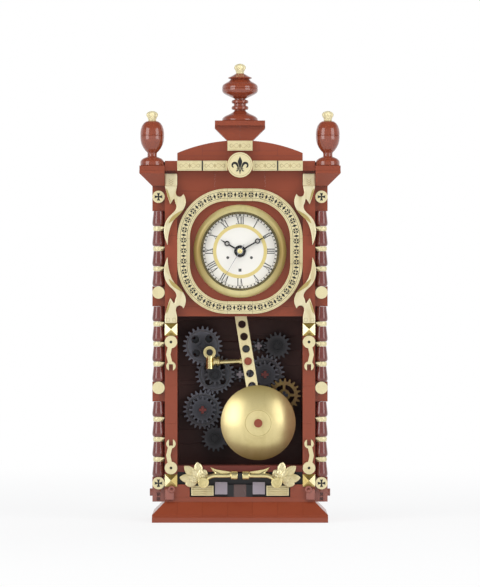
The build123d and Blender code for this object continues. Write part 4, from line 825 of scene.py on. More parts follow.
# Printed ornaments about the origin: the lily's outlines in millimetres
CROSS_ARM = 2.55 * MM
CROSS_ROOT, CROSS_FLARE, CROSS_HOLLOW = 0.14 * CROSS_ARM, 0.38 * CROSS_ARM, 0.9 * CROSS_ARM
LILY_SPEAR = [(0.0, 5.5), (0.6, 4.1), (1.3, 2.6), (1.3, 1.2), (0.75, -0.4), (0.5, -2.0)]
LILY_PETAL = [(0.75, -2.0), (1.2, 0.4), (2.4, 1.8), (4.0, 1.9), (5.2, 0.9), (5.4, -0.7), (4.6, -1.7),
              (3.7, -1.5), (4.4, -0.8), (4.2, 0.2), (3.3, 0.5), (2.4, -0.2), (1.8, -1.3), (1.5, -2.1)]
LILY_TAIL = [(0.0, -3.0), (0.5, -3.1), (0.45, -4.2), (0.0, -6.0)]
LILY_LEAF = [(0.8, -3.0), (1.3, -3.9), (2.2, -4.2), (2.6, -3.6), (1.9, -3.5), (1.5, -3.0)]
LILY_BAND = [(-2.1, -2.85), (2.1, -2.85), (2.1, -2.25), (-2.1, -2.25)]


def flared_cross():
    """Cross whose four arms widen towards hollowed ends."""
    arm = [(CROSS_ROOT, -CROSS_ROOT), (CROSS_ARM, -CROSS_FLARE),
           (CROSS_HOLLOW, 0.0), (CROSS_ARM, CROSS_FLARE)]
    points = []
    for quarter in range(4):
        points += turned(arm, quarter * math.pi / 2)
    return points


def lily():
    """Outlines of a heraldic lily."""
    spear = curve(LILY_SPEAR)
    outlines = [spear + [(-x, z) for x, z in spear[::-1][:-1]], LILY_BAND]
    tail = curve(LILY_TAIL)
    outlines.append(tail + [(-x, z) for x, z in tail[1:-1]][::-1])
    outlines += both(curve(LILY_PETAL, closed=True)) + both(curve(LILY_LEAF, closed=True))
    return [scaled(points, MM, MM) for points in outlines]


# Numerals as shares of their height
STEM = 0.21
HAIR = 0.075
SERIF = 0.075
NUMERAL_WIDE = {"I": 0.36, "V": 0.84, "X": 0.84}
NUMERAL_GAP = 0.09
NUMERAL_NARROW = 0.66
NUMERALS = ("XII", "I", "II", "III", "IV", "V", "VI", "VII", "VIII", "IX", "X", "XI")


def bar(a, b, wide):
    """Slanted stroke between two heights, with level ends."""
    half = wide / 2
    return [(a[0] - half, a[1]), (b[0] - half, b[1]), (b[0] + half, b[1]), (a[0] + half, a[1])]


def serif(x, z, wide):
    """Flat foot of a stroke."""
    return moved(box_outline(wide / 2, SERIF / 2), x, z)


def letter(sign, x):
    """Strokes of one numeral sign of unit height, its left edge at x."""
    wide = NUMERAL_WIDE[sign]
    left, right, centre = x + STEM / 2 + HAIR, x + wide - STEM / 2 - HAIR, x + wide / 2
    if sign == "I":
        return [bar((centre, 0), (centre, 1), STEM), serif(centre, 0, wide), serif(centre, 1, wide)]
    tops = [serif(left, 1, 2 * STEM), serif(right, 1, 2 * STEM)]
    if sign == "V":
        return [bar((left, 1), (centre, 0), STEM), bar((right, 1), (centre, 0), HAIR), *tops]
    feet = [serif(left, 0, 2 * STEM), serif(right, 0, 2 * STEM)]
    return [bar((left, 1), (right, 0), STEM), bar((right, 1), (left, 0), HAIR), *tops, *feet]


def numeral(text, tall):
    """Strokes of a numeral, centred on x and standing on the origin."""
    width = sum(NUMERAL_WIDE[sign] + NUMERAL_GAP for sign in text) - NUMERAL_GAP
    strokes = []
    x = -width / 2
    for sign in text:
        strokes += [scaled(stroke, NUMERAL_NARROW * tall, tall) for stroke in letter(sign, x)]
        x += NUMERAL_WIDE[sign] + NUMERAL_GAP
    return strokes


# Case
CASE_NODES = ("base_plate", "base_slopes", "plinth_bricks", "left_side_wall", "right_side_wall", "stiles",
              "rails", "dial_panel", "cornice", "roof_plates", "pediment")
SEAM_CLOSE = 0.07 * MM
SEAM_SHUT = 0.1 * MM
SEAM_LINE = 0.16 * MM
MIDDLE_TILE_HALF = 4.1 * MM
MIDDLE_TILE_SPAN = (15.9 * MM, 24.2 * MM)
SILL_TOP = 45.0 * MM
PEDIMENT_SIDE = 20.0 * MM
PEDIMENT_FOOT = (231.0 * MM, 236.0 * MM)
# Right half of the pediment's joints, in millimetres
PEDIMENT_SEAMS = (((8.2, 233.6), (39.6, 233.6)), ((8.2, 236.8), (24.0, 236.8)),
                  ((24.0, 233.6), (24.0, 239.2)), ((12.2, 236.8), (12.2, 241.3)))


def within(value, span):
    """Whether a value lies between the two ends of a span."""
    return span[0] < value < span[1]


def close_seams(obj, edge, growth=SEAM_CLOSE):
    """Grow a node's bricks until they all but meet, then round their edges."""
    closed = obj.modifiers.new("closed_seams", "DISPLACE")
    closed.strength = growth
    closed.mid_level = 0.0
    round_edges(obj, edge)


def in_middle_tile(face):
    """Whether a face belongs to the dark tile in the middle of the plinth."""
    place = face.center
    return abs(place.x) < MIDDLE_TILE_HALF and within(place.z, MIDDLE_TILE_SPAN) and place.y < COLUMN_Y


def in_sill(face):
    """Whether a face belongs to the sill under the window."""
    return face.center.z < SILL_TOP


def on_pediment(place):
    """Whether a point belongs to the foot of the pediment's arch."""
    return abs(place.x) > PEDIMENT_SIDE and within(place.z, PEDIMENT_FOOT)


def pediment_seams():
    """Joints between the pediment's bricks."""
    face = part_box("pediment", on_pediment)[0].y
    lines = Relief(2.0 * SEAM_CLOSE)
    for line in PEDIMENT_SEAMS:
        for side in both(scaled(line, MM, MM)):
            lines.strip(side, SEAM_LINE, face)
    lines.done("pediment_seams", "barrel", "case")


def case_bricks(sizes):
    """Brown bricks of the case and the dark back wall."""
    for name in CASE_NODES:
        look = "slope" if name == "base_slopes" else "brown"
        close_seams(dress(name, look), sizes.case_edge, SEAM_SHUT if name == "pediment" else SEAM_CLOSE)
    # Painted shade: the sill's faces get the darker brown
    repaint("rails", "sill", in_sill)
    close_seams(dress("back_wall", "back"), sizes.brick_edge, SEAM_SHUT)
    repaint("plinth_bricks", "dark_tile", in_middle_tile)
    pediment_seams()


# Columns
COLUMN_NODES = {"column_blocks": "brown", "column_barrels": "barrel", "column_bands": "cream",
                "round_tiles": "cream"}
BAND_T = 3.2 * MM
BAND_PITCH = 12.8 * MM
BANDS = 3
SHAFT_BAND = 9.6 * MM
SHAFT_FEET = [z * MM for z in (28.8, 89.6, 150.4)]
CROSS_TILES = [z * MM for z in (24.8, 207.5)]
LUG_ROOT, LUG_TIP = 2.9 * MM, 5.9 * MM
LUG_RISE = 0.8 * MM
LUG_LEAN = math.radians(53.0)
LUG_ROOT_HALF, LUG_TIP_HALF = 1.2 * MM, 0.3 * MM
FOOT_TOP = 23.6 * MM
CLIP_PLACE = (44.9 * MM, 17.6 * MM)
CLIP_HALF = (2.9 * MM, 3.6 * MM)
CLIP_RISE = 2.4 * MM
CLIP_EDGE = 0.9 * MM
EYE = (0.8 * MM, 2.3 * MM)
EYE_PLACE = (43.6 * MM, 20.9 * MM)
EYE_RISE = 3.0 * MM
EYE_EDGE = 0.45 * MM
STRIP_TILES = 8
STRIP_WIDE = 3.4 * MM
STRIP_DEEP = 5.4 * MM
STRIP_REAR = -11.2 * MM
STRIP_GAP = 0.05 * MM
END_PLACE = (48.9 * MM, 228.6 * MM)
END_HALF = (0.95 * MM, 1.35 * MM)
END_REAR = -12.0 * MM
END_DEEP = 9.0 * MM
END_EDGE = 0.3 * MM


def band_lug(mesh, side, z):
    """Pointed lug on a band, towards the front and the stile."""
    out = Vector((-side * math.cos(LUG_LEAN), -math.sin(LUG_LEAN), 0.0))
    across = Vector((out.y, -out.x, 0.0))
    axis = Vector((side * COLUMN_X, COLUMN_Y, z))
    ends = []
    for reach, half, rise in ((LUG_ROOT, LUG_ROOT_HALF, 0.0), (LUG_TIP, LUG_TIP_HALF, LUG_RISE)):
        centre = axis + out * reach + Vector((0.0, 0.0, rise))
        ends.append([mesh.verts.new(centre + across * a + Vector((0.0, 0.0, b)))
                     for a, b in box_outline(half, half)])
        mesh.faces.new(ends[-1])
    bridge(mesh, *ends)


def in_foot(face):
    """Whether a face belongs to the foot of a column."""
    return face.center.z < FOOT_TOP


def foot_clips():
    """Rounded clip with an eye beside each column's foot, both in the paler brown of painted sheen."""
    face = front("plinth_bricks")
    clips = Relief(CLIP_RISE)
    for outline in both(moved(box_outline(*CLIP_HALF), *CLIP_PLACE)):
        clips.fill(outline, face)
    round_edges(clips.done("foot_clips", "foot", "case"), CLIP_EDGE, segments=4)
    eyes = bmesh.new()
    for side in (-1, 1):
        eye = hoop(*EYE, face, face - EYE_RISE, EYE_EDGE)
        lathe(eyes, eye, (side * EYE_PLACE[0], EYE_PLACE[1]))
    piece("foot_eyes", eyes, "foot", "case")


def cornice_ends():
    """End of the cornice beside each side finial, near black as painted shade in the gap there."""
    ends = Relief(END_DEEP)
    for outline in both(moved(box_outline(*END_HALF), *END_PLACE)):
        ends.fill(outline, END_REAR)
    round_edges(ends.done("cornice_ends", "shade", "case"), END_EDGE)


def side_strips(sizes):
    """Tiles up the side walls, behind the columns, near black as painted shade in the gaps beside the
    barrels.
    """
    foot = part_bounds("column_blocks")[0].z
    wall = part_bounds("right_side_wall")[1]
    tall = (wall.z - foot) / STRIP_TILES
    outline = box_outline(STRIP_WIDE / 2, tall / 2 - STRIP_GAP)
    tiles = Relief(STRIP_DEEP)
    for side in (-1, 1):
        for index in range(STRIP_TILES):
            place = (side * (wall.x + STRIP_WIDE / 2), foot + tall * (index + 0.5))
            tiles.fill(moved(outline, *place), STRIP_REAR)
    round_edges(tiles.done("side_strips", "shade", "case"), sizes.brick_edge)


def columns(sizes):
    """Blocks, barrels, gilt bands with their lugs, and round tiles with printed crosses."""
    for name, look in COLUMN_NODES.items():
        dress(name, look, sizes.brick_edge)
    # Painted sheen: the feet get the paler brown
    repaint("column_blocks", "foot", in_foot)
    foot_clips()
    side_strips(sizes)
    cornice_ends()
    lugs = bmesh.new()
    for side in (-1, 1):
        for foot in SHAFT_FEET:
            for index in range(BANDS):
                band_lug(lugs, side, foot + SHAFT_BAND + BAND_PITCH * index + BAND_T / 2)
    piece("band_lugs", lugs, "cream", "case")
    crosses = Relief(sizes.print_rise)
    for side in (-1, 1):
        for z in CROSS_TILES:
            crosses.fill(moved(flared_cross(), side * COLUMN_X, z), TILE_FACE)
    crosses.done("tile_crosses", "ink", "case")


# Gilt trim
RING_HALF = 36.0 * MM
RING_CORNER = 28.0 * MM
RING_MOTIFS = 72
RING_STEPS = 160
RING_LINE = 0.2 * MM
RING_LINES = {"ink": 2.2 * MM, "faint_ink": 3.3 * MM}
PETAL_ROOT, PETAL_LONG, PETAL_HALF = 0.3 * MM, 1.75 * MM, 0.62 * MM
LOZENGE_LONG, LOZENGE_HALF = 1.75 * MM, 0.85 * MM
BEAD_R = 0.36 * MM
BEAD_OUT = 1.65 * MM
BEAD_ROUND = 10
SHIELD_Z = 227.6 * MM
SHIELD_R = 7.1 * MM
SHIELD_LINE = 0.35 * MM
SHIELD_ROUND = 48
BAND_TILES = [x * MM for x in (-32.0, -16.0, 16.0, 32.0)]
BAND_TILE_FACE = -32.8 * MM
BAND_TILE_Z = 227.2 * MM
BAND_TILE_HALF = (7.1 * MM, 2.45 * MM)
KEYSTONE_FACE = -31.2 * MM
KEYSTONE_Z = 240.0 * MM
MARK_LINE = 0.2 * MM
SWIRL_LINE = 0.28 * MM
# Half of a band tile's scrolled line, as shares of the tile's half width and half height
SWIRL = [(0.09, 0.0), (0.3, 0.6), (0.55, 0.1), (0.8, -0.5), (0.9, 0.1), (0.78, 0.35)]
# Middle mark of a band tile, as shares of its half height
MIDDLE_MARK = (0.34, 0.7)
ORNATE_Z = 218.4 * MM
CHEVRON = [(-1.5 * MM, 0.6 * MM), (0.0, -0.9 * MM), (1.5 * MM, 0.6 * MM)]
CHEVRON_DROPS = (0.0, 1.3 * MM, 2.6 * MM)
CHEVRON_LINE = 0.4 * MM
LOWER_ORNATE_Z = 129.0 * MM
LOWER_FRAME_HALF = (0.9 * MM, 1.1 * MM)
LOWER_FRAME_X = 2.0 * MM
LOWER_FRAME_LINE = 0.3 * MM
ORNAMENT_FACE = -31.0 * MM
SCROLL_GRAIN, SCROLL_ROUNDS = 0.28 * MM, 14


def along_ring(share):
    """Point and heading on the ring's rounded-square middle line, clockwise from the upper left."""
    straight = RING_HALF - RING_CORNER
    quarter = 2.0 * straight + RING_CORNER * math.pi / 2.0
    turn, run = divmod(share * 4.0, 1.0)
    run *= quarter
    if run < 2.0 * straight:
        point, heading = (run - straight, RING_HALF), 0.0
    else:
        heading = -(run - 2.0 * straight) / RING_CORNER
        point = (straight - RING_CORNER * math.sin(heading), straight + RING_CORNER * math.cos(heading))
    spin = -turn * math.pi / 2.0
    return turned([point], spin)[0], heading + spin


def on_ring(outline, share):
    """Outline laid on the dial ring, its x along the ring."""
    (x, z), heading = along_ring(share)
    return moved(turned(outline, heading), DIAL.x + x, DIAL.z + z)


def ring_print(sizes):
    """Border lines and a run of quatrefoils and lozenges on the dial ring."""
    for look, reach in RING_LINES.items():
        lines = Relief(sizes.print_rise)
        for out in (-reach, reach):
            path = [on_ring([(0.0, out)], i / RING_STEPS)[0] for i in range(RING_STEPS)]
            lines.strip(path, RING_LINE, TILE_FACE, closed=True)
        lines.done("ring_lines_" + look, look, "case")
    motifs = Relief(sizes.print_rise)
    diamond = lozenge(LOZENGE_HALF, LOZENGE_LONG)
    petal = moved(lens(PETAL_LONG, PETAL_HALF), PETAL_ROOT, 0.0)
    bead = circle(BEAD_R, BEAD_ROUND)
    quatrefoil = [turned(petal, (quarter + 0.5) * math.pi / 2) for quarter in range(4)]
    quatrefoil += [moved(bead, 0.0, out) for out in (-BEAD_OUT, BEAD_OUT)]
    quatrefoil += [moved(bead, aside, 0.0) for aside in (-BEAD_OUT, BEAD_OUT)]
    for index in range(RING_MOTIFS):
        for shape in [diamond] if index % 2 else quatrefoil:
            motifs.fill(on_ring(shape, (index + 0.5) / RING_MOTIFS), TILE_FACE)
    motifs.done("ring_motifs", "ink", "case")


def shield_print(sizes):
    """Lily on the shield disc."""
    face = front("cornice_tiles")
    shield = Relief(sizes.print_rise)
    for outline in lily():
        shield.fill(moved(outline, 0.0, SHIELD_Z), face)
    shield.done("shield_lily", "ink", "case")


def tile_engraving(marks, x, z, face, half):
    """Frame, lozenge and two scrolled lines on a band tile."""
    marks.strip(moved(box_outline(*half), x, z), MARK_LINE, face, closed=True)
    tall = half[1]
    marks.fill(moved(scaled(lozenge(*MIDDLE_MARK), tall, tall), x, z), face)
    for line in both(curve(scaled(SWIRL, *half))):
        for up in (1.0, -1.0):
            marks.strip(moved(scaled(line, 1.0, up), x, z), SWIRL_LINE, face)


def trim_marks(sizes):
    """Faint engraving on the band tiles, the keystone tile, the shield and the ornate tiles."""
    marks = Relief(sizes.print_rise)
    for x in BAND_TILES:
        tile_engraving(marks, x, BAND_TILE_Z, BAND_TILE_FACE, BAND_TILE_HALF)
    tile_engraving(marks, 0.0, KEYSTONE_Z, KEYSTONE_FACE, BAND_TILE_HALF)
    shield = moved(circle(SHIELD_R, SHIELD_ROUND), 0.0, SHIELD_Z)
    marks.strip(shield, SHIELD_LINE, front("cornice_tiles"), closed=True)
    lower_frame = box_outline(*LOWER_FRAME_HALF)
    for side in (-1, 1):
        for drop in CHEVRON_DROPS:
            marks.strip(moved(CHEVRON, side * STILE_X, ORNATE_Z - drop), CHEVRON_LINE, TILE_FACE)
        for aside in (-LOWER_FRAME_X, LOWER_FRAME_X):
            place = (side * STILE_X + aside, LOWER_ORNATE_Z)
            marks.strip(moved(lower_frame, *place), LOWER_FRAME_LINE, ORNAMENT_FACE, closed=True)
    marks.done("trim_engraving", "faint_ink", "case")


# Middle lines of the painted shade on the twists, in millimetres from the stile's middle and the dial's
# centre
TWIST_LINE = [(1.5, 17.7), (-0.7, 20.4), (-3.9, 23.2), (-7.7, 26.2)]
TWIST_HALF = 1.1 * MM
DROP_LINE = [(3.0, 40.0), (2.0, 36.5), (0.4, 31.5)]
DROP_HALF = 0.6 * MM
TWIST_RISE = 0.14 * MM
TWIST_STEPS = 6
PYRAMID_SPANS = [(118.8 * MM, 127.0 * MM), (22.5 * MM, 30.7 * MM)]
FACET_TILT = 0.3
SPANNER_HOLES = [114.9 * MM, 34.6 * MM]
SPANNER_HOLE_R = 0.86 * MM
SPANNER_HOLE_FACE = -29.4 * MM
SPANNER_HOLE_ROUND = 20
JOINT_X = 24.0 * MM
JOINT_HALF = (0.45 * MM, 3.1 * MM)


def blade(points, half):
    """Outline of a blade that tapers to both ends of a line."""
    left, right = edges_of(points, 2.0, False)
    last = len(points) - 1
    sides = []
    for base, line in ((points, left), (points[::-1], right[::-1])):
        for i, ((x, z), (ex, ez)) in enumerate(zip(base, line)):
            width = half * math.sin(math.pi * i / last)
            if 0 < i < last:
                sides.append((x + (ex - x) * width, z + (ez - z) * width))
        sides.append(base[-1])
    return sides


def scroll_painted_shade():
    """Painted shade: olive blades on the belly of each scroll and along each drop, where the twisted form
    is shaded.
    """
    twists = Relief(TWIST_RISE)
    for line, half in ((TWIST_LINE, TWIST_HALF), (DROP_LINE, DROP_HALF)):
        shape = blade(curve(scaled(line, MM, MM), TWIST_STEPS), half)
        for side in (-1, 1):
            for up in (-1, 1):
                twists.fill([(side * (STILE_X + x), DIAL.z + up * z) for x, z in shape], ORNAMENT_FACE)
    twists.done("scroll_painted_shade", "olive", "case")


def in_pyramid(face):
    """Whether a face belongs to a pyramid tile."""
    return any(within(face.center.z, span) for span in PYRAMID_SPANS)


def pyramid_top(face):
    """Whether a face is the upper facet of a pyramid tile."""
    return in_pyramid(face) and face.normal.z > FACET_TILT


def pyramid_foot(face):
    """Whether a face is the lower facet of a pyramid tile."""
    return in_pyramid(face) and face.normal.z < -FACET_TILT


def pyramid_inside(face):
    """Whether a face is the facet of a lower pyramid tile that looks to the window."""
    inward = -face.normal.x if face.center.x > 0 else face.normal.x
    return in_pyramid(face) and inward > FACET_TILT and face.center.z < SILL_TOP


def spanner_hole_shadows(sizes):
    """Black discs in the holes of the spanners' round ends: painted shade in the holes."""
    holes = Relief(sizes.print_rise)
    hole = circle(SPANNER_HOLE_R, SPANNER_HOLE_ROUND)
    for side in (-1, 1):
        for z in SPANNER_HOLES:
            holes.fill(moved(hole, side * STILE_X, z), SPANNER_HOLE_FACE)
    holes.done("spanner_hole_shadows", "black", "case")


def tile_joints(sizes):
    """Dark joints between the band tiles."""
    joints = Relief(sizes.print_rise)
    for side in (-1, 1):
        joints.fill(moved(box_outline(*JOINT_HALF), side * JOINT_X, BAND_TILE_Z), BAND_TILE_FACE)
    joints.done("band_tile_joints", "black", "case")


def gilt_trim(sizes):
    """Dial ring, cornice tiles, stile scrolls and spanners, with their print."""
    dress("dial_ring_tiles", "ring", sizes.brick_edge)
    dress("cornice_tiles", "cream", sizes.brick_edge)
    dress("stile_spanners", "cream", sizes.brick_edge)
    sculpt("stile_scrolls", "flame", SCROLL_GRAIN, SCROLL_ROUNDS)
    # Painted light on the pyramid tiles: upper facets painted dark as shade; lower facets, and the lower
    # tiles' facets towards the window, painted golden as reflection
    facets = (("pyramid", in_pyramid), ("facet_painted_shade", pyramid_top),
              ("facet_painted_reflection", pyramid_foot), ("facet_painted_reflection", pyramid_inside))
    for look, test in facets:
        repaint("stile_spanners", look, test)
    spanner_hole_shadows(sizes)
    scroll_painted_shade()
    ring_print(sizes)
    shield_print(sizes)
    trim_marks(sizes)
    tile_joints(sizes)


# Plinth
LEAF_PLACE = (25.3 * MM, 26.8 * MM)
LEAF_ANGLES = (118.0, -16.0, 80.0, 7.0, 41.0)
LEAF_LENGTHS = [long * MM for long in (7.4, 10.0, 11.7, 13.4, 13.6)]
LEAF_HALF = 2.8 * MM
LEAF_SWELL, LEAF_BLUNT, CROWN_BLUNT = 1.5, 0.75, 0.5
LEAF_STACK = 0.12 * MM
LEAF_EDGE = 0.8 * MM
LEAF_CROWN = 0.75 * MM
LEAF_VEIN = 0.14 * MM
LEAF_VEINS = 4.5
VEIN_SLANT = 1.1
LEAF_LONG_STEPS, LEAF_WIDE_STEPS = 26, 7
LEAF_INNER = 0.62
LEAF_INNER_TURN = 12.0
LEAF_INNER_RISE = 0.75 * MM
LEAF_HUB_R = 1.7 * MM
LEAF_HUB_RISE = 2.9 * MM
LEAF_HUB_EDGE = 0.6 * MM
CURL_PLACE = (23.3 * MM, 25.4 * MM)
CURL_FACE = -34.8 * MM
CURL_R = 3.1 * MM
CURL_LINE = 0.8 * MM
CURL_TURNS = 1.4
CURL_SHRINK = 0.8
CURL_STEPS = 40
CURL_RISE = 0.3 * MM
CURL_EDGE = 0.12 * MM
HORN_GRAIN, HORN_ROUNDS = 0.3 * MM, 8
# Right fin's outline, in millimetres
FIN_OUTLINE = [(18.8, 35.1), (15.6, 33.9), (12.0, 33.2), (8.0, 32.6),
               (5.8, 32.0), (9.0, 31.2), (14.0, 31.3), (16.0, 32.5)]
FIN_T = 1.3 * MM
FIN_REAR = -31.2 * MM
FIN_EDGE = 0.35 * MM


def leaf_point(side, angle, size, along, across, depth):
    """Place on a leaf from its own share along and across."""
    long, wide = size
    half = wide * math.sin(math.pi * along ** LEAF_SWELL) ** LEAF_BLUNT
    x, z = turned([(along * long, across * half)], angle)[0]
    return (side * (LEAF_PLACE[0] + x), depth, LEAF_PLACE[1] + z)


def leaf(mesh, side, angle, size, back):
    """One pointed leaf with a midrib, a crowned face and slanting veins."""
    near, far = [], []
    for i in range(LEAF_LONG_STEPS + 1):
        along = i / LEAF_LONG_STEPS
        near_row, far_row = [], []
        for j in range(-LEAF_WIDE_STEPS, LEAF_WIDE_STEPS + 1):
            across = j / LEAF_WIDE_STEPS
            dome = LEAF_CROWN * (1.0 - across * across) * math.sin(math.pi * along) ** CROWN_BLUNT
            vein = LEAF_VEIN * math.cos(2.0 * math.pi * (LEAF_VEINS * along - VEIN_SLANT * abs(across)))
            rib = -2.0 * LEAF_VEIN if j == 0 else vein * (1.0 - abs(across)) * math.sin(math.pi * along)
            face = back - LEAF_EDGE - dome - rib
            near_row.append(mesh.verts.new(leaf_point(side, angle, size, along, across, face)))
            far_row.append(mesh.verts.new(leaf_point(side, angle, size, along, across, back)))
        near.append(near_row)
        far.append(far_row)
    last = 2 * LEAF_WIDE_STEPS
    for i in range(LEAF_LONG_STEPS):
        for j in range(last):
            for rows in (near, far):
                mesh.faces.new((rows[i][j], rows[i + 1][j], rows[i + 1][j + 1], rows[i][j + 1]))
        for j in (0, last):
            mesh.faces.new((near[i][j], near[i + 1][j], far[i + 1][j], far[i][j]))
    for i in (0, LEAF_LONG_STEPS):
        for j in range(last):
            mesh.faces.new((near[i][j], near[i][j + 1], far[i][j + 1], far[i][j]))
    made = [vert for rows in (near, far) for row in rows for vert in row]
    bmesh.ops.remove_doubles(mesh, verts=made, dist=WELD_REACH)


def leaf_sprays():
    """Two sprays of overlapping leaves round a button."""
    for side, name in ((-1, "left_leaf_spray"), (1, "right_leaf_spray")):
        mesh = bmesh.new()
        for index, (angle, long) in enumerate(zip(LEAF_ANGLES, LEAF_LENGTHS)):
            back = TILE_FACE - LEAF_STACK * index
            leaf(mesh, side, math.radians(angle), (long, LEAF_HALF), back)
            inner = (long * LEAF_INNER, LEAF_HALF * LEAF_INNER)
            leaf(mesh, side, math.radians(angle + LEAF_INNER_TURN), inner, back - LEAF_INNER_RISE)
        hub = button(LEAF_HUB_R, TILE_FACE, TILE_FACE - LEAF_HUB_RISE, LEAF_HUB_EDGE)
        lathe(mesh, hub, (side * LEAF_PLACE[0], LEAF_PLACE[1]))
        spray = piece(name, mesh, "leaf", "case", smooth=True)
        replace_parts(spray, "leaf_sprays")


def horn_fins():
    """Curved fin along the back of each horn."""
    fins = Relief(FIN_T)
    for side in both(scaled(curve(FIN_OUTLINE, closed=True), MM, MM)):
        fins.fill(side, FIN_REAR)
    round_edges(fins.done("horn_fins", "gold", "case"), FIN_EDGE, segments=3)


def curl_swirls():
    """Raised spiral on each curled end of the horns."""
    swirls = Relief(CURL_RISE)
    spiral = []
    for i in range(CURL_STEPS + 1):
        share = i / CURL_STEPS
        radius = CURL_R * (1.0 - CURL_SHRINK * share)
        angle = math.pi / 2 - 2.0 * math.pi * CURL_TURNS * share
        spiral.append((radius * math.cos(angle), radius * math.sin(angle)))
    for line in both(moved(spiral, *CURL_PLACE))[::-1]:
        swirls.strip(line, CURL_LINE, CURL_FACE)
    raised = swirls.done("horn_swirls", "gold", "case")
    round_edges(raised, CURL_EDGE, segments=1, hardened=False)


def plinth(sizes):
    """Dark core, grilles, pale tiles, leaf sprays and horns."""
    dress("plinth_core", "black", sizes.brick_edge)
    dress("grille_tiles", "cream", sizes.gear_edge)
    dress("pale_tiles", "light_grey", sizes.brick_edge)
    sculpt("horns", "gold", HORN_GRAIN, HORN_ROUNDS)
    leaf_sprays()
    horn_fins()
    curl_swirls()


# Dial
TICK = (0.34 * MM, 0.5 * MM)
HOUR_TICK = (0.6 * MM, 0.65 * MM)
TRACK_LINE = 0.1 * MM
TRACK_HALF = 0.62 * MM
KEYHOLES = [(-7.8 * MM, -4.1 * MM), (7.3 * MM, -4.1 * MM)]
KEYHOLE_R = 0.95 * MM
KEYHOLE_ROUND = 20
GILT_RISE, GILT_EDGE = 0.12 * MM, 0.05 * MM
# Widths, gap and rise of the painted shadow rings inside the bezel
DIAL_SHADOW_RING, BEZEL_SHADOW_RING = 0.6 * MM, 0.8 * MM
SHADOW_RING_GAP = 0.1 * MM
SHADOW_RING_RISE = 0.06 * MM
SQUARE_PLACE = -12.1 * MM
HUB_CAP_R = 1.6 * MM
HUB_CAP_RISE = 0.22 * MM
# Where the cap's face breaks, as shares of its radius and its rise
HUB_CAP_BREAK = (0.6, 0.8)
MINUTES = 60


def on_dial(outline, radius, clock_angle):
    """Outline stood radially on the dial, at a clockwise angle from twelve."""
    return moved(turned(moved(outline, 0.0, radius), -clock_angle), DIAL.x, DIAL.z)


def dial_print(sizes):
    """Numerals, minute track, keyholes and gilt ring."""
    black = Relief(sizes.print_rise)
    hours = len(NUMERALS)
    for hour, text in enumerate(NUMERALS):
        for stroke in numeral(text, sizes.numeral_tall):
            black.fill(on_dial(stroke, sizes.numeral_foot, 2 * math.pi * hour / hours), DIAL_FACE)
    for minute in range(MINUTES):
        size = TICK if minute % (MINUTES // hours) else HOUR_TICK
        black.fill(on_dial(box_outline(*size), sizes.track_r, 2 * math.pi * minute / MINUTES), DIAL_FACE)
    for out in (-TRACK_HALF, TRACK_HALF):
        line = moved(circle(sizes.track_r + out, DIAL_ROUND), DIAL.x, DIAL.z)
        black.strip(line, TRACK_LINE, DIAL_FACE, closed=True)
    for x, z in KEYHOLES:
        black.fill(moved(circle(KEYHOLE_R, KEYHOLE_ROUND), DIAL.x + x, DIAL.z + z), DIAL_FACE)
    black.fill(moved(box_outline(KEYHOLE_R, KEYHOLE_R), DIAL.x, DIAL.z + SQUARE_PLACE), DIAL_FACE)
    black.done("dial_print", "dial_ink", "case")
    gilt_mesh = bmesh.new()
    profile = hoop(sizes.gilt_ring_in, sizes.gilt_ring_out, DIAL_FACE, DIAL_FACE - GILT_RISE, GILT_EDGE)
    lathe(gilt_mesh, profile, (DIAL.x, DIAL.z), DIAL_ROUND)
    piece("dial_gilt_ring", gilt_mesh, "gilt_print", "case")


def bezel_painted_shadow_rings():
    """Painted shadow rings inside the bezel, on its rim and round the dial's edge."""
    mesh = bmesh.new()
    for inner, outer, face in ((DIAL_R + SHADOW_RING_GAP, DIAL_R + BEZEL_SHADOW_RING, front("bezel")),
                               (DIAL_R - DIAL_SHADOW_RING, DIAL_R, DIAL_FACE)):
        painted_shadow_ring = hoop(inner, outer, face, face - SHADOW_RING_RISE, SHADOW_RING_RISE / 2)
        lathe(mesh, painted_shadow_ring, (DIAL.x, DIAL.z), DIAL_ROUND)
    piece("bezel_painted_shadow_rings", mesh, "painted_shadow_ring", "case")


def hub_cap():
    """Gilt cap in front of the hands."""
    face = front("second_hand")
    mesh = bmesh.new()
    out, rise = HUB_CAP_BREAK
    cap = [(0.0, face), (0.0, face - HUB_CAP_RISE), (out * HUB_CAP_R, face - rise * HUB_CAP_RISE),
           (HUB_CAP_R, face), (HUB_CAP_R, face + HUB_CAP_RISE), (0.0, face + HUB_CAP_RISE)]
    lathe(mesh, cap, (DIAL.x, DIAL.z), HUB_ROUND)
    piece("second_hand_cap", mesh, "gold", "second", smooth=True)


def dial(sizes):
    """Clock insert as seen from the front: bezel, dial with its print, hands and crystal."""
    dress("bezel", "brass", sizes.gear_edge)
    dress("dial", "dial", sizes.gear_edge)
    dress("hour_hand", "hand_black", sizes.print_rise)
    dress("minute_hand", "hand_black", sizes.print_rise)
    dress("second_hand", "steel", sizes.print_rise)
    dress("crystal", "glass", sizes.gear_edge)
    dial_print(sizes)
    bezel_painted_shadow_rings()
    hub_cap()


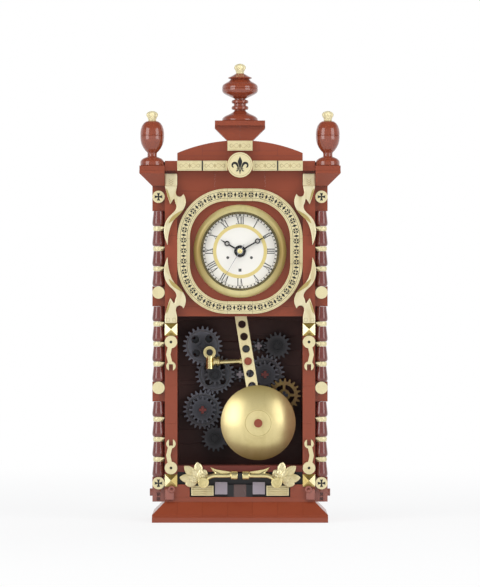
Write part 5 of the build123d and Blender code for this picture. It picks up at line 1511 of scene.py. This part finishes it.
# Finials: turned outlines as radius and height in millimetres, one form to a row or two
MIDDLE_TURNING = [
    (0.0, 0.0), (11.2, 0.0), (11.5, 0.5), (11.4, 1.4), (10.9, 2.2), (9.8, 3.1), (8.2, 3.9),
    (6.2, 4.8), (4.6, 5.7), (3.8, 6.4), (3.6, 7.0),
    (5.0, 7.3), (5.4, 7.8), (5.4, 9.0), (5.0, 9.5), (4.0, 9.8), (4.0, 11.0),
    (5.0, 11.3), (5.4, 11.8), (5.4, 12.9), (5.0, 13.4), (3.6, 13.7), (3.6, 14.3),
    (5.2, 15.0), (7.4, 16.0), (9.4, 17.0), (10.7, 17.9), (11.3, 18.8), (11.5, 19.8), (11.5, 20.6),
    (11.25, 20.8), (11.5, 21.0), (11.4, 22.0), (11.1, 22.9), (10.3, 23.7), (9.0, 24.5), (7.4, 25.4),
    (6.4, 26.2), (6.0, 26.7),
    (7.2, 27.0), (7.75, 27.4), (7.5, 27.9), (6.2, 28.5), (4.6, 29.3), (3.4, 30.0), (3.0, 30.2), (0.0, 30.2)]
SIDE_TURNING = [
    (0.0, 0.0), (7.3, 0.0), (7.6, 0.4), (7.6, 2.6), (7.1, 3.6), (6.0, 4.6), (4.2, 5.4), (3.2, 5.8),
    (3.0, 6.3), (3.0, 7.9), (3.2, 8.5),
    (4.4, 9.6), (5.8, 11.6), (6.8, 13.6), (7.35, 15.7), (7.55, 17.6), (7.6, 19.1),
    (7.35, 19.3), (7.6, 19.5), (7.55, 21.2), (7.3, 23.2), (6.6, 25.4), (5.4, 27.2), (4.2, 28.1),
    (3.4, 28.4), (0.0, 28.4)]
TURNING_STEPS = 72
CROWN_PROFILE = [(2.3, 0.0), (2.7, 0.4), (2.5, 1.1), (2.9, 2.2), (3.6, 3.5),
                 (3.6, 4.7), (2.8, 5.7), (1.5, 6.3), (0.0, 6.6)]
CROWN_RISES = 3
CROWN_FLUTES = 6
CROWN_STEPS = 48
# Depth of the flutes as a share of the radius, and the heights between which they run
FLUTE_DEPTH = 0.17
FLUTE_FOOT, FLUTE_TOP = 1.2, 6.2
MIDDLE_REACH = 20.0 * MM
FINIALS = {
    "left": (SIDE_TURNING, lambda place: place.x < -MIDDLE_REACH),
    "middle": (MIDDLE_TURNING, lambda place: abs(place.x) < MIDDLE_REACH),
    "right": (SIDE_TURNING, lambda place: place.x > MIDDLE_REACH),
}


def crown(mesh, centre, foot):
    """Fluted knob on a small collar."""
    rows = []
    for radius, rise in curve(CROWN_PROFILE, CROWN_RISES):
        share = min(max((rise - FLUTE_FOOT) / (FLUTE_TOP - FLUTE_FOOT), 0.0), 1.0)
        depth = FLUTE_DEPTH * math.sin(math.pi * share)
        row = []
        for step in range(CROWN_STEPS):
            angle = 2.0 * math.pi * step / CROWN_STEPS
            reach = radius * (1.0 - depth + depth * math.cos(CROWN_FLUTES * angle)) * MM
            x, y = centre.x + reach * math.cos(angle), centre.y + reach * math.sin(angle)
            row.append(mesh.verts.new((x, y, foot + rise * MM)))
        rows.append(row)
    mesh.faces.new(rows[0][::-1])
    for below, above in zip(rows, rows[1:]):
        bridge(mesh, below, above)
    bmesh.ops.remove_doubles(mesh, verts=mesh.verts[:], dist=WELD_REACH)


def finials():
    """Turned finials and their gilt crowns."""
    dress("finials", "turned_brown")
    dress("finial_crowns", "cream")
    for name, (turning, test) in FINIALS.items():
        low, high = part_box("finials", test)
        centre = (low + high) / 2
        mesh = bmesh.new()
        placed = Matrix.Translation((centre.x, centre.y, low.z)) @ Matrix.Rotation(math.pi / 2, 4, "X")
        lathe(mesh, scaled(turning, MM, MM), (0.0, 0.0), TURNING_STEPS, placed)
        finial = piece(name + "_finial", mesh, "turned_brown", "case")
        finial.modifiers.new("shading", "NODES").node_group = shading()
        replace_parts(finial, "finials")
        mesh = bmesh.new()
        crown(mesh, centre, low.z + turning[-1][1] * MM)
        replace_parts(piece(name + "_crown", mesh, "cream", "case", smooth=True), "finial_crowns")


# Gear train
GEAR_NODES = {
    "crank": (("crank_wheel", "grey"), ("crank_arbor", "grey")),
    "left_gears": (("left_wheel", "grey"), ("left_pinion", "gear_black")),
    "centre_gear": (("centre_pinion", "gear_black"), ("centre_arbor", "light_grey")),
    "right_gears": (("right_wheels", "grey"), ("right_arbor", "axle_red")),
    "upper_gear": (("upper_wheel", "gear_black"),),
    "top_gear": (("top_pinion", "gear_black"), ("top_arbor", "light_grey")),
    "lower_gears": (("lower_wheels", "grey"), ("lower_arbor", "axle_red")),
    "foot_gear": (("foot_wheel", "gear_black"),),
    "escape_gear": (("escape_wheel", "bronze"), ("escape_arbor", "grey")),
}
FRONT_FACE, REAR_FACE = 6.0 * MM, 12.0 * MM
WHEEL_HOLE_OUT = 6.1 * MM
WHEEL_HOLE_R = 2.42 * MM
WHEEL_HOLE_TURN = math.radians(-41.8)
WHEEL_HOLES = 4
RIM_WIDE, RIM_RISE, RIM_EDGE = 0.5 * MM, 0.3 * MM, 0.1 * MM
HUB_IN, HUB_OUT = 2.5 * MM, 3.5 * MM
HUBS = {
    "crank": (FRONT_FACE, "grey"),
    "left_gears": (FRONT_FACE, "gear_black"),
    "right_gears": (FRONT_FACE, "grey"),
    "lower_gears": (FRONT_FACE, "grey"),
    "upper_gear": (REAR_FACE, "gear_black"),
    "foot_gear": (REAR_FACE, "gear_black"),
    "escape_gear": (FRONT_FACE, "bronze"),
}
LARGE_WHEELS = {"crank": FRONT_FACE, "left_gears": REAR_FACE,
                "right_gears": REAR_FACE, "lower_gears": REAR_FACE}
LARGE_LIP = (9.3 * MM, 10.3 * MM)
TOOTHED = ("wheel", "wheels", "pinion")


def pivot(body):
    """Point (x, z) of the joint that turns a body."""
    for joint in frame["joints"]:
        if joint["child"] == body:
            return joint["pos_m"][0], joint["pos_m"][2]
    raise ValueError(body + " has no joint")


def gear_rims(body):
    """Hub ring of a gear, and on a large wheel the rims of its holes and of its web, these painted paler as
    highlight.
    """
    x, z = pivot(body)
    face, look = HUBS[body]
    mesh = bmesh.new()
    lathe(mesh, hoop(HUB_IN, HUB_OUT, face, face - RIM_RISE, RIM_EDGE), (x, z), HUB_ROUND)
    piece(body + "_hub_rim", mesh, look, body)
    if body in LARGE_WHEELS:
        face = LARGE_WHEELS[body]
        mesh = bmesh.new()
        rim = hoop(WHEEL_HOLE_R, WHEEL_HOLE_R + RIM_WIDE, face, face - RIM_RISE, RIM_EDGE)
        for index in range(WHEEL_HOLES):
            angle = WHEEL_HOLE_TURN + 2.0 * math.pi * index / WHEEL_HOLES
            lathe(mesh, rim, (x + WHEEL_HOLE_OUT * math.cos(angle), z + WHEEL_HOLE_OUT * math.sin(angle)))
        lathe(mesh, hoop(*LARGE_LIP, face, face - RIM_RISE, RIM_EDGE), (x, z), WEB_ROUND)
        piece(body + "_web_rims", mesh, "grey_rim_highlight", body)


def wheel_with_painted_light(name, body, look):
    """Finish of one wheel or pinion, with painted light about its own axle."""
    colours = bpy.context.scene.clock_colours
    x, z = pivot(body)
    plain, lit_teeth = getattr(colours, look), getattr(colours, look + "_lit_teeth")
    return plastic_with_painted_teeth_light(name + "_plastic", plain, lit_teeth, (x, 0.0, z), half_width(name))


def gears(sizes):
    """Wheels, pinions and axles of the train, with their moulded rims."""
    for body, nodes in GEAR_NODES.items():
        for name, look in nodes:
            obj = dress(name, look, sizes.gear_edge)
            # Toothed parts get painted light: paler teeth, darker middle
            if name.endswith(TOOTHED) and look != "bronze":
                obj.data.materials[0] = wheel_with_painted_light(name, body, look)
    for body in HUBS:
        gear_rims(body)


# Pendulum
PENDULUM_NODES = {"pendulum_rod": "rod_gold", "pendulum_pins": "brown",
                  "link_eye": "gold", "link_bar": "gold"}
ROD_TILT = math.radians(9.3)
ROD_PITCH = 8.0 * MM
RIMMED_HOLES = range(1, 7)
ROD_HOLE_R = 2.5 * MM
ROD_RIM, ROD_RIM_RISE, ROD_RIM_EDGE = 0.4 * MM, 0.15 * MM, 0.06 * MM
PEG_HOLE = 3
PEG_R = 2.35 * MM
# Depths of the peg's two ends behind the rod's face
PEG_REAR, PEG_FACE = 6.0 * MM, 2.6 * MM
PEG_EDGE = 0.4 * MM
EYE_RIM = (2.2 * MM, 2.9 * MM)
EYE_RIM_RISE, EYE_RIM_EDGE = 0.2 * MM, 0.08 * MM
COLLAR_X = -17.3 * MM
# Collar's outline as radius and place along the bar, in millimetres
COLLAR_PROFILE = [(1.2, 0.0), (2.9, 0.0), (3.2, 0.3), (3.2, 1.2), (2.7, 1.5),
                  (2.7, 2.5), (3.2, 2.8), (3.2, 3.8), (2.9, 4.1), (1.2, 4.1)]
BOB_LINE = (8.15 * MM, 8.4 * MM)
BOB_LINE_RISE, BOB_LINE_EDGE = 0.06 * MM, 0.03 * MM
PIN_CAP_R = 1.92 * MM
PIN_CAP_T = 0.3 * MM


def on_rod(distance):
    """Point on the rod's middle line, a distance below the pivot."""
    x, z = pivot("pendulum")
    return x + distance * math.sin(ROD_TILT), z - distance * math.cos(ROD_TILT)


def rod_rims():
    """Moulded rims round the rod's holes, and the peg in one of them."""
    face = front("pendulum_rod")
    rims = bmesh.new()
    rim = hoop(ROD_HOLE_R, ROD_HOLE_R + ROD_RIM, face, face - ROD_RIM_RISE, ROD_RIM_EDGE)
    for index in RIMMED_HOLES:
        lathe(rims, rim, on_rod(index * ROD_PITCH))
    piece("rod_hole_rims", rims, "rod_gold", "pendulum")
    peg = bmesh.new()
    lathe(peg, button(PEG_R, face + PEG_REAR, face + PEG_FACE, PEG_EDGE), on_rod(PEG_HOLE * ROD_PITCH))
    piece("rod_peg", peg, "grey", "pendulum")


def bob_line():
    """Fine turned line near the edge of the bob's disc."""
    face = front("bob")
    mesh = bmesh.new()
    lathe(mesh, hoop(*BOB_LINE, face, face - BOB_LINE_RISE, BOB_LINE_EDGE), (BOB.x, BOB.z), BOB_ROUND)
    piece("bob_line", mesh, "olive", "pendulum")


def link_rim():
    """Raised rim round the hole of the link's eye."""
    face = front("link_eye")
    mesh = bmesh.new()
    lathe(mesh, hoop(*EYE_RIM, face, face - EYE_RIM_RISE, EYE_RIM_EDGE), pivot("link"), HUB_ROUND)
    piece("link_eye_rim", mesh, "gold", "link")


def link_collar():
    """Grooved collar where the bar leaves the link's barrel, and the dark end of the crank pin."""
    bar_line = middle("link_bar")
    mesh = bmesh.new()
    placed = Matrix.Translation((COLLAR_X, bar_line.y, bar_line.z)) @ Matrix.Rotation(-math.pi / 2, 4, "Z")
    lathe(mesh, scaled(COLLAR_PROFILE, MM, MM), (0.0, 0.0), HUB_ROUND, placed)
    piece("link_collar", mesh, "gold", "link")
    face = front("crank_arbor")
    pin = bmesh.new()
    lathe(pin, button(PIN_CAP_R, face + PIN_CAP_T, face - PIN_CAP_T, PIN_CAP_T / 2), pivot("link"))
    piece("crank_pin_cap", pin, "black", "crank")


def pendulum(sizes):
    """Rod, bob and pins, and the link that drives them."""
    for name, look in PENDULUM_NODES.items():
        dress(name, look, sizes.brick_edge)
    dress("bob", "bob", sizes.brick_edge, segments=3)
    rod_rims()
    bob_line()
    link_rim()
    link_collar()


# Rear
KNURLS = 18
KNURL_R = 0.4 * MM
KNURL_LONG = 2.4 * MM
KNURL_EDGE = 0.2 * MM
KNURL_TIP = 0.24 * MM
# Cover's rim and slot as shares of its radius
COVER_RIM = (0.78, 0.88)
SLOT_REACH = 0.6
SLOT_HALF = 0.5 * MM
SLOT_END_R = 0.8 * MM
SLOT_END_ROUND = 16
SLOT_RISE = 0.2 * MM


def knob_knurls():
    """Ridges round the setting knob."""
    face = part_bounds("set_knob")[1].y
    root = face - KNURL_LONG
    x, z = pivot("setter")
    outer = half_width("set_knob")
    ridge = [(0.0, face), (KNURL_R, face), (KNURL_R, root + KNURL_EDGE), (KNURL_TIP, root), (0.0, root)]
    mesh = bmesh.new()
    for index in range(KNURLS):
        angle = 2.0 * math.pi * index / KNURLS
        lathe(mesh, ridge, (x + outer * math.cos(angle), z + outer * math.sin(angle)), KNURL_ROUND)
    piece("set_knob_knurls", mesh, "grey", "setter")


def cover_slot():
    """Coin slot and rim on the battery cover."""
    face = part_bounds("cell_cover")[1].y
    centre = middle("cell_cover")
    radius = half_width("cell_cover")
    inner, outer = (share * radius for share in COVER_RIM)
    mesh = bmesh.new()
    rim = [(inner, face), (inner, face + SLOT_RISE), (outer, face + SLOT_RISE), (outer, face)]
    lathe(mesh, rim, (centre.x, centre.z), COVER_ROUND)
    piece("cell_cover_rim", mesh, "black", "case")
    slot = Relief(-SLOT_RISE)
    reach = SLOT_REACH * radius
    slot.fill(moved(box_outline(reach, SLOT_HALF), centre.x, centre.z), face)
    for end in (-reach, reach):
        slot.fill(moved(circle(SLOT_END_R, SLOT_END_ROUND), centre.x + end, centre.z), face)
    slot.done("cell_cover_slot", "grey", "case")


def insert_rear(sizes):
    """Can, movement, battery cell with its cover, and the setting knob."""
    for name in ("insert_can", "movement", "cell_cover"):
        dress(name, "black", sizes.gear_edge)
    dress("battery_cell", "steel", sizes.gear_edge)
    dress("set_knob", "grey", sizes.gear_edge)
    knob_knurls()
    cover_slot()


# Stage
CAMERA_AWAY = 2.6
CAMERA_Z = 0.1458
LENS, SENSOR = 250.0, 36.0
VIEW_FAR = 50.0
FLOOR_Z = 0.0
FLOOR_HALF = 6.0
FLOOR_COLOUR = (0.86, 0.86, 0.86)
FLOOR_ROUGH = 0.9
# Cloudy tone of the floor: features per metre, span of the noise, span of the tone
FLOOR_CLOUD = 3.0
FLOOR_CLOUD_SPAN = (0.3, 0.7)
FLOOR_TONE = (0.995, 1.0)
# How far from the clock the floor turns white, and how white it is there and close by
FLOOR_FADE = (0.2, 0.9)
FLOOR_SHARE = (0.8, 1.0)
PLAIN_LIGHT = (0.92, 0.95, 1.0, 1.0)
PLAIN_POWER = 0.37
# Reflected room: from dim in front to white behind, and dimmer overhead
BEHIND_SPAN, BEHIND_LEVEL = (-0.1, 0.5), (0.5, 1.0)
OVERHEAD_SPAN, OVERHEAD_LEVEL = (0.2, 0.75), (1.0, 0.2)
LAMPS = {
    "left_softbox": ((-0.95, -0.85, 0.4), (0.7, 1.2), 8.4),
    "right_softbox": ((1.0, -0.85, 0.4), (0.7, 1.2), 7.6),
    "top_softbox": ((0.0, -0.6, 1.2), (1.2, 1.0), 5.6),
    "rear_softbox": ((0.5, 1.3, 0.7), (1.2, 1.0), 9.0),
}
UNREFLECTED = ("top_softbox", "rear_softbox")
AIM = Vector((0.0, 0.0, 0.14))


def studio_floor():
    """Pale floor that looks white to the camera and keeps the object's shadow."""
    made, tree, shader = blank("studio_floor")
    cloud = spread(tree, noise(tree, FLOOR_CLOUD), *FLOOR_CLOUD_SPAN, *FLOOR_TONE)
    shade = add(tree, "ShaderNodeHueSaturation")
    shade.inputs["Color"].default_value = opaque(FLOOR_COLOUR)
    tree.links.new(cloud, shade.inputs["Value"])
    tree.links.new(shade.outputs[0], shader.inputs["Base Color"])
    shader.inputs["Roughness"].default_value = FLOOR_ROUGH
    shader.inputs["Specular IOR Level"].default_value = 0.0
    paper = add(tree, "ShaderNodeEmission")
    paper.inputs["Color"].default_value = WHITE
    path = add(tree, "ShaderNodeLightPath")
    mirrored = arithmetic(
        tree, "MAXIMUM", path.outputs["Is Glossy Ray"], path.outputs["Is Transmission Ray"])
    seen = arithmetic(tree, "MAXIMUM", path.outputs["Is Camera Ray"], mirrored)
    mixed = add(tree, "ShaderNodeMixShader")
    away = add(tree, "ShaderNodeVectorMath", operation="LENGTH")
    tree.links.new(add(tree, "ShaderNodeTexCoord").outputs["Object"], away.inputs[0])
    share = spread(tree, away.outputs["Value"], *FLOOR_FADE, *FLOOR_SHARE)
    tree.links.new(arithmetic(tree, "MULTIPLY", seen, share), mixed.inputs["Fac"])
    tree.links.new(shader.outputs[0], mixed.inputs[1])
    tree.links.new(paper.outputs[0], mixed.inputs[2])
    output = next(node for node in tree.nodes if node.type == "OUTPUT_MATERIAL")
    tree.links.new(mixed.outputs[0], output.inputs["Surface"])
    return made


def studio_world():
    """White behind the object, dimmer in front, and an even plain light on it."""
    world = bpy.data.worlds.new("studio")
    bpy.context.scene.world = world
    world.use_nodes = True
    tree = world.node_tree
    tree.nodes.clear()
    plain = add(tree, "ShaderNodeBackground")
    plain.inputs["Color"].default_value = PLAIN_LIGHT
    plain.inputs["Strength"].default_value = PLAIN_POWER
    direction = add(tree, "ShaderNodeSeparateXYZ")
    tree.links.new(add(tree, "ShaderNodeTexCoord").outputs["Generated"], direction.inputs[0])
    shown = add(tree, "ShaderNodeBackground")
    shown.inputs["Color"].default_value = WHITE
    behind = spread(tree, direction.outputs["Y"], *BEHIND_SPAN, *BEHIND_LEVEL)
    overhead = spread(tree, direction.outputs["Z"], *OVERHEAD_SPAN, *OVERHEAD_LEVEL)
    path = add(tree, "ShaderNodeLightPath")
    direct = arithmetic(tree, "MAXIMUM", path.outputs["Is Camera Ray"], path.outputs["Is Transmission Ray"])
    level = arithmetic(tree, "MAXIMUM", direct, arithmetic(tree, "MULTIPLY", behind, overhead))
    tree.links.new(level, shown.inputs["Strength"])
    seen = arithmetic(tree, "MAXIMUM", direct, path.outputs["Is Glossy Ray"])
    mixed = add(tree, "ShaderNodeMixShader")
    tree.links.new(seen, mixed.inputs["Fac"])
    tree.links.new(plain.outputs[0], mixed.inputs[1])
    tree.links.new(shown.outputs[0], mixed.inputs[2])
    tree.links.new(mixed.outputs[0], add(tree, "ShaderNodeOutputWorld").inputs["Surface"])


def pointed_at(place, target):
    """Matrix of a lamp or camera at a place, aimed at the target."""
    turn = (Vector(target) - Vector(place)).to_track_quat("-Z", "Y")
    return Matrix.Translation(place) @ turn.to_matrix().to_4x4()


def stage():
    """Floor, lamps, world and camera."""
    scene = bpy.context.scene
    mesh = bmesh.new()
    corners = box_outline(FLOOR_HALF, FLOOR_HALF)
    mesh.faces.new([mesh.verts.new((x, y, FLOOR_Z)) for x, y in corners])
    data = bpy.data.meshes.new("floor")
    mesh.to_mesh(data)
    mesh.free()
    data.materials.append(studio_floor())
    floor = bpy.data.objects.new("floor", data)
    scene.collection.objects.link(floor)
    for name, (place, size, power) in LAMPS.items():
        lamp = bpy.data.lights.new(name, "AREA")
        lamp.shape = "RECTANGLE"
        lamp.size, lamp.size_y = size
        lamp.energy = power
        holder = bpy.data.objects.new(name, lamp)
        holder.matrix_world = pointed_at(place, AIM)
        holder.visible_glossy = name not in UNREFLECTED
        scene.collection.objects.link(holder)
    studio_world()
    lens_data = bpy.data.cameras.new("camera")
    lens_data.lens = LENS
    lens_data.sensor_width = SENSOR
    lens_data.clip_end = VIEW_FAR
    camera = bpy.data.objects.new("camera", lens_data)
    camera.matrix_world = pointed_at((0.0, TILE_FACE - CAMERA_AWAY, CAMERA_Z), (0.0, 0.0, CAMERA_Z))
    scene.collection.objects.link(camera)
    scene.camera = camera
    scene.view_settings.view_transform = "Standard"


# Operators
class CLOCK_OT_case(bpy.types.Operator):
    """Finish the brown bricks of the case and the back wall"""
    bl_idname = "clock.case"
    bl_label = "Case bricks"

    def execute(self, context):
        case_bricks(context.scene.clock_sizes)
        return {"FINISHED"}


class CLOCK_OT_columns(bpy.types.Operator):
    """Finish the columns and add band lugs and printed crosses"""
    bl_idname = "clock.columns"
    bl_label = "Columns"

    def execute(self, context):
        columns(context.scene.clock_sizes)
        return {"FINISHED"}


class CLOCK_OT_trim(bpy.types.Operator):
    """Finish the gilt trim and add its print"""
    bl_idname = "clock.trim"
    bl_label = "Gilt trim"

    def execute(self, context):
        gilt_trim(context.scene.clock_sizes)
        return {"FINISHED"}


class CLOCK_OT_plinth(bpy.types.Operator):
    """Finish the plinth and model its leaves and horns"""
    bl_idname = "clock.plinth"
    bl_label = "Plinth"

    def execute(self, context):
        plinth(context.scene.clock_sizes)
        return {"FINISHED"}


class CLOCK_OT_dial(bpy.types.Operator):
    """Finish the clock insert's front and add the dial's print"""
    bl_idname = "clock.dial"
    bl_label = "Dial"

    def execute(self, context):
        dial(context.scene.clock_sizes)
        return {"FINISHED"}


class CLOCK_OT_finials(bpy.types.Operator):
    """Finish the finials and their crowns"""
    bl_idname = "clock.finials"
    bl_label = "Finials"

    def execute(self, context):
        finials()
        return {"FINISHED"}


class CLOCK_OT_gears(bpy.types.Operator):
    """Finish the gear train and add its moulded rims"""
    bl_idname = "clock.gears"
    bl_label = "Gear train"

    def execute(self, context):
        gears(context.scene.clock_sizes)
        return {"FINISHED"}


class CLOCK_OT_pendulum(bpy.types.Operator):
    """Finish the pendulum and its link"""
    bl_idname = "clock.pendulum"
    bl_label = "Pendulum"

    def execute(self, context):
        pendulum(context.scene.clock_sizes)
        return {"FINISHED"}


class CLOCK_OT_rear(bpy.types.Operator):
    """Finish the rear of the clock insert"""
    bl_idname = "clock.rear"
    bl_label = "Insert rear"

    def execute(self, context):
        insert_rear(context.scene.clock_sizes)
        return {"FINISHED"}


class CLOCK_OT_stage(bpy.types.Operator):
    """Add the floor, the lamps, the world and the camera"""
    bl_idname = "clock.stage"
    bl_label = "Stage"

    def execute(self, context):
        stage()
        return {"FINISHED"}


STEPS = (
    CLOCK_OT_case, CLOCK_OT_columns, CLOCK_OT_trim, CLOCK_OT_plinth, CLOCK_OT_dial, CLOCK_OT_finials,
    CLOCK_OT_gears, CLOCK_OT_pendulum, CLOCK_OT_rear, CLOCK_OT_stage,
)


class CLOCK_PT_finish(bpy.types.Panel):
    """Steps of the finish, in order"""
    bl_idname = "CLOCK_PT_finish"
    bl_label = "Brick gear clock"
    bl_space_type = "VIEW_3D"
    bl_region_type = "UI"
    bl_category = "Clock"

    def draw(self, context):
        for step in STEPS:
            self.layout.operator(step.bl_idname)


CLASSES = (ClockColours, ClockSizes, *STEPS, CLOCK_PT_finish)


def register():
    """Register the classes and hang the settings on the scene."""
    for entry in CLASSES:
        bpy.utils.register_class(entry)
    bpy.types.Scene.clock_colours = bpy.props.PointerProperty(type=ClockColours)
    bpy.types.Scene.clock_sizes = bpy.props.PointerProperty(type=ClockSizes)


def unregister():
    """Take the settings and the classes away again."""
    del bpy.types.Scene.clock_sizes
    del bpy.types.Scene.clock_colours
    for entry in reversed(CLASSES):
        bpy.utils.unregister_class(entry)


def main():
    """Run every step."""
    register()
    for step in STEPS:
        family, action = step.bl_idname.split(".")
        getattr(getattr(bpy.ops, family), action)()


if __name__ == "__main__":
    main()
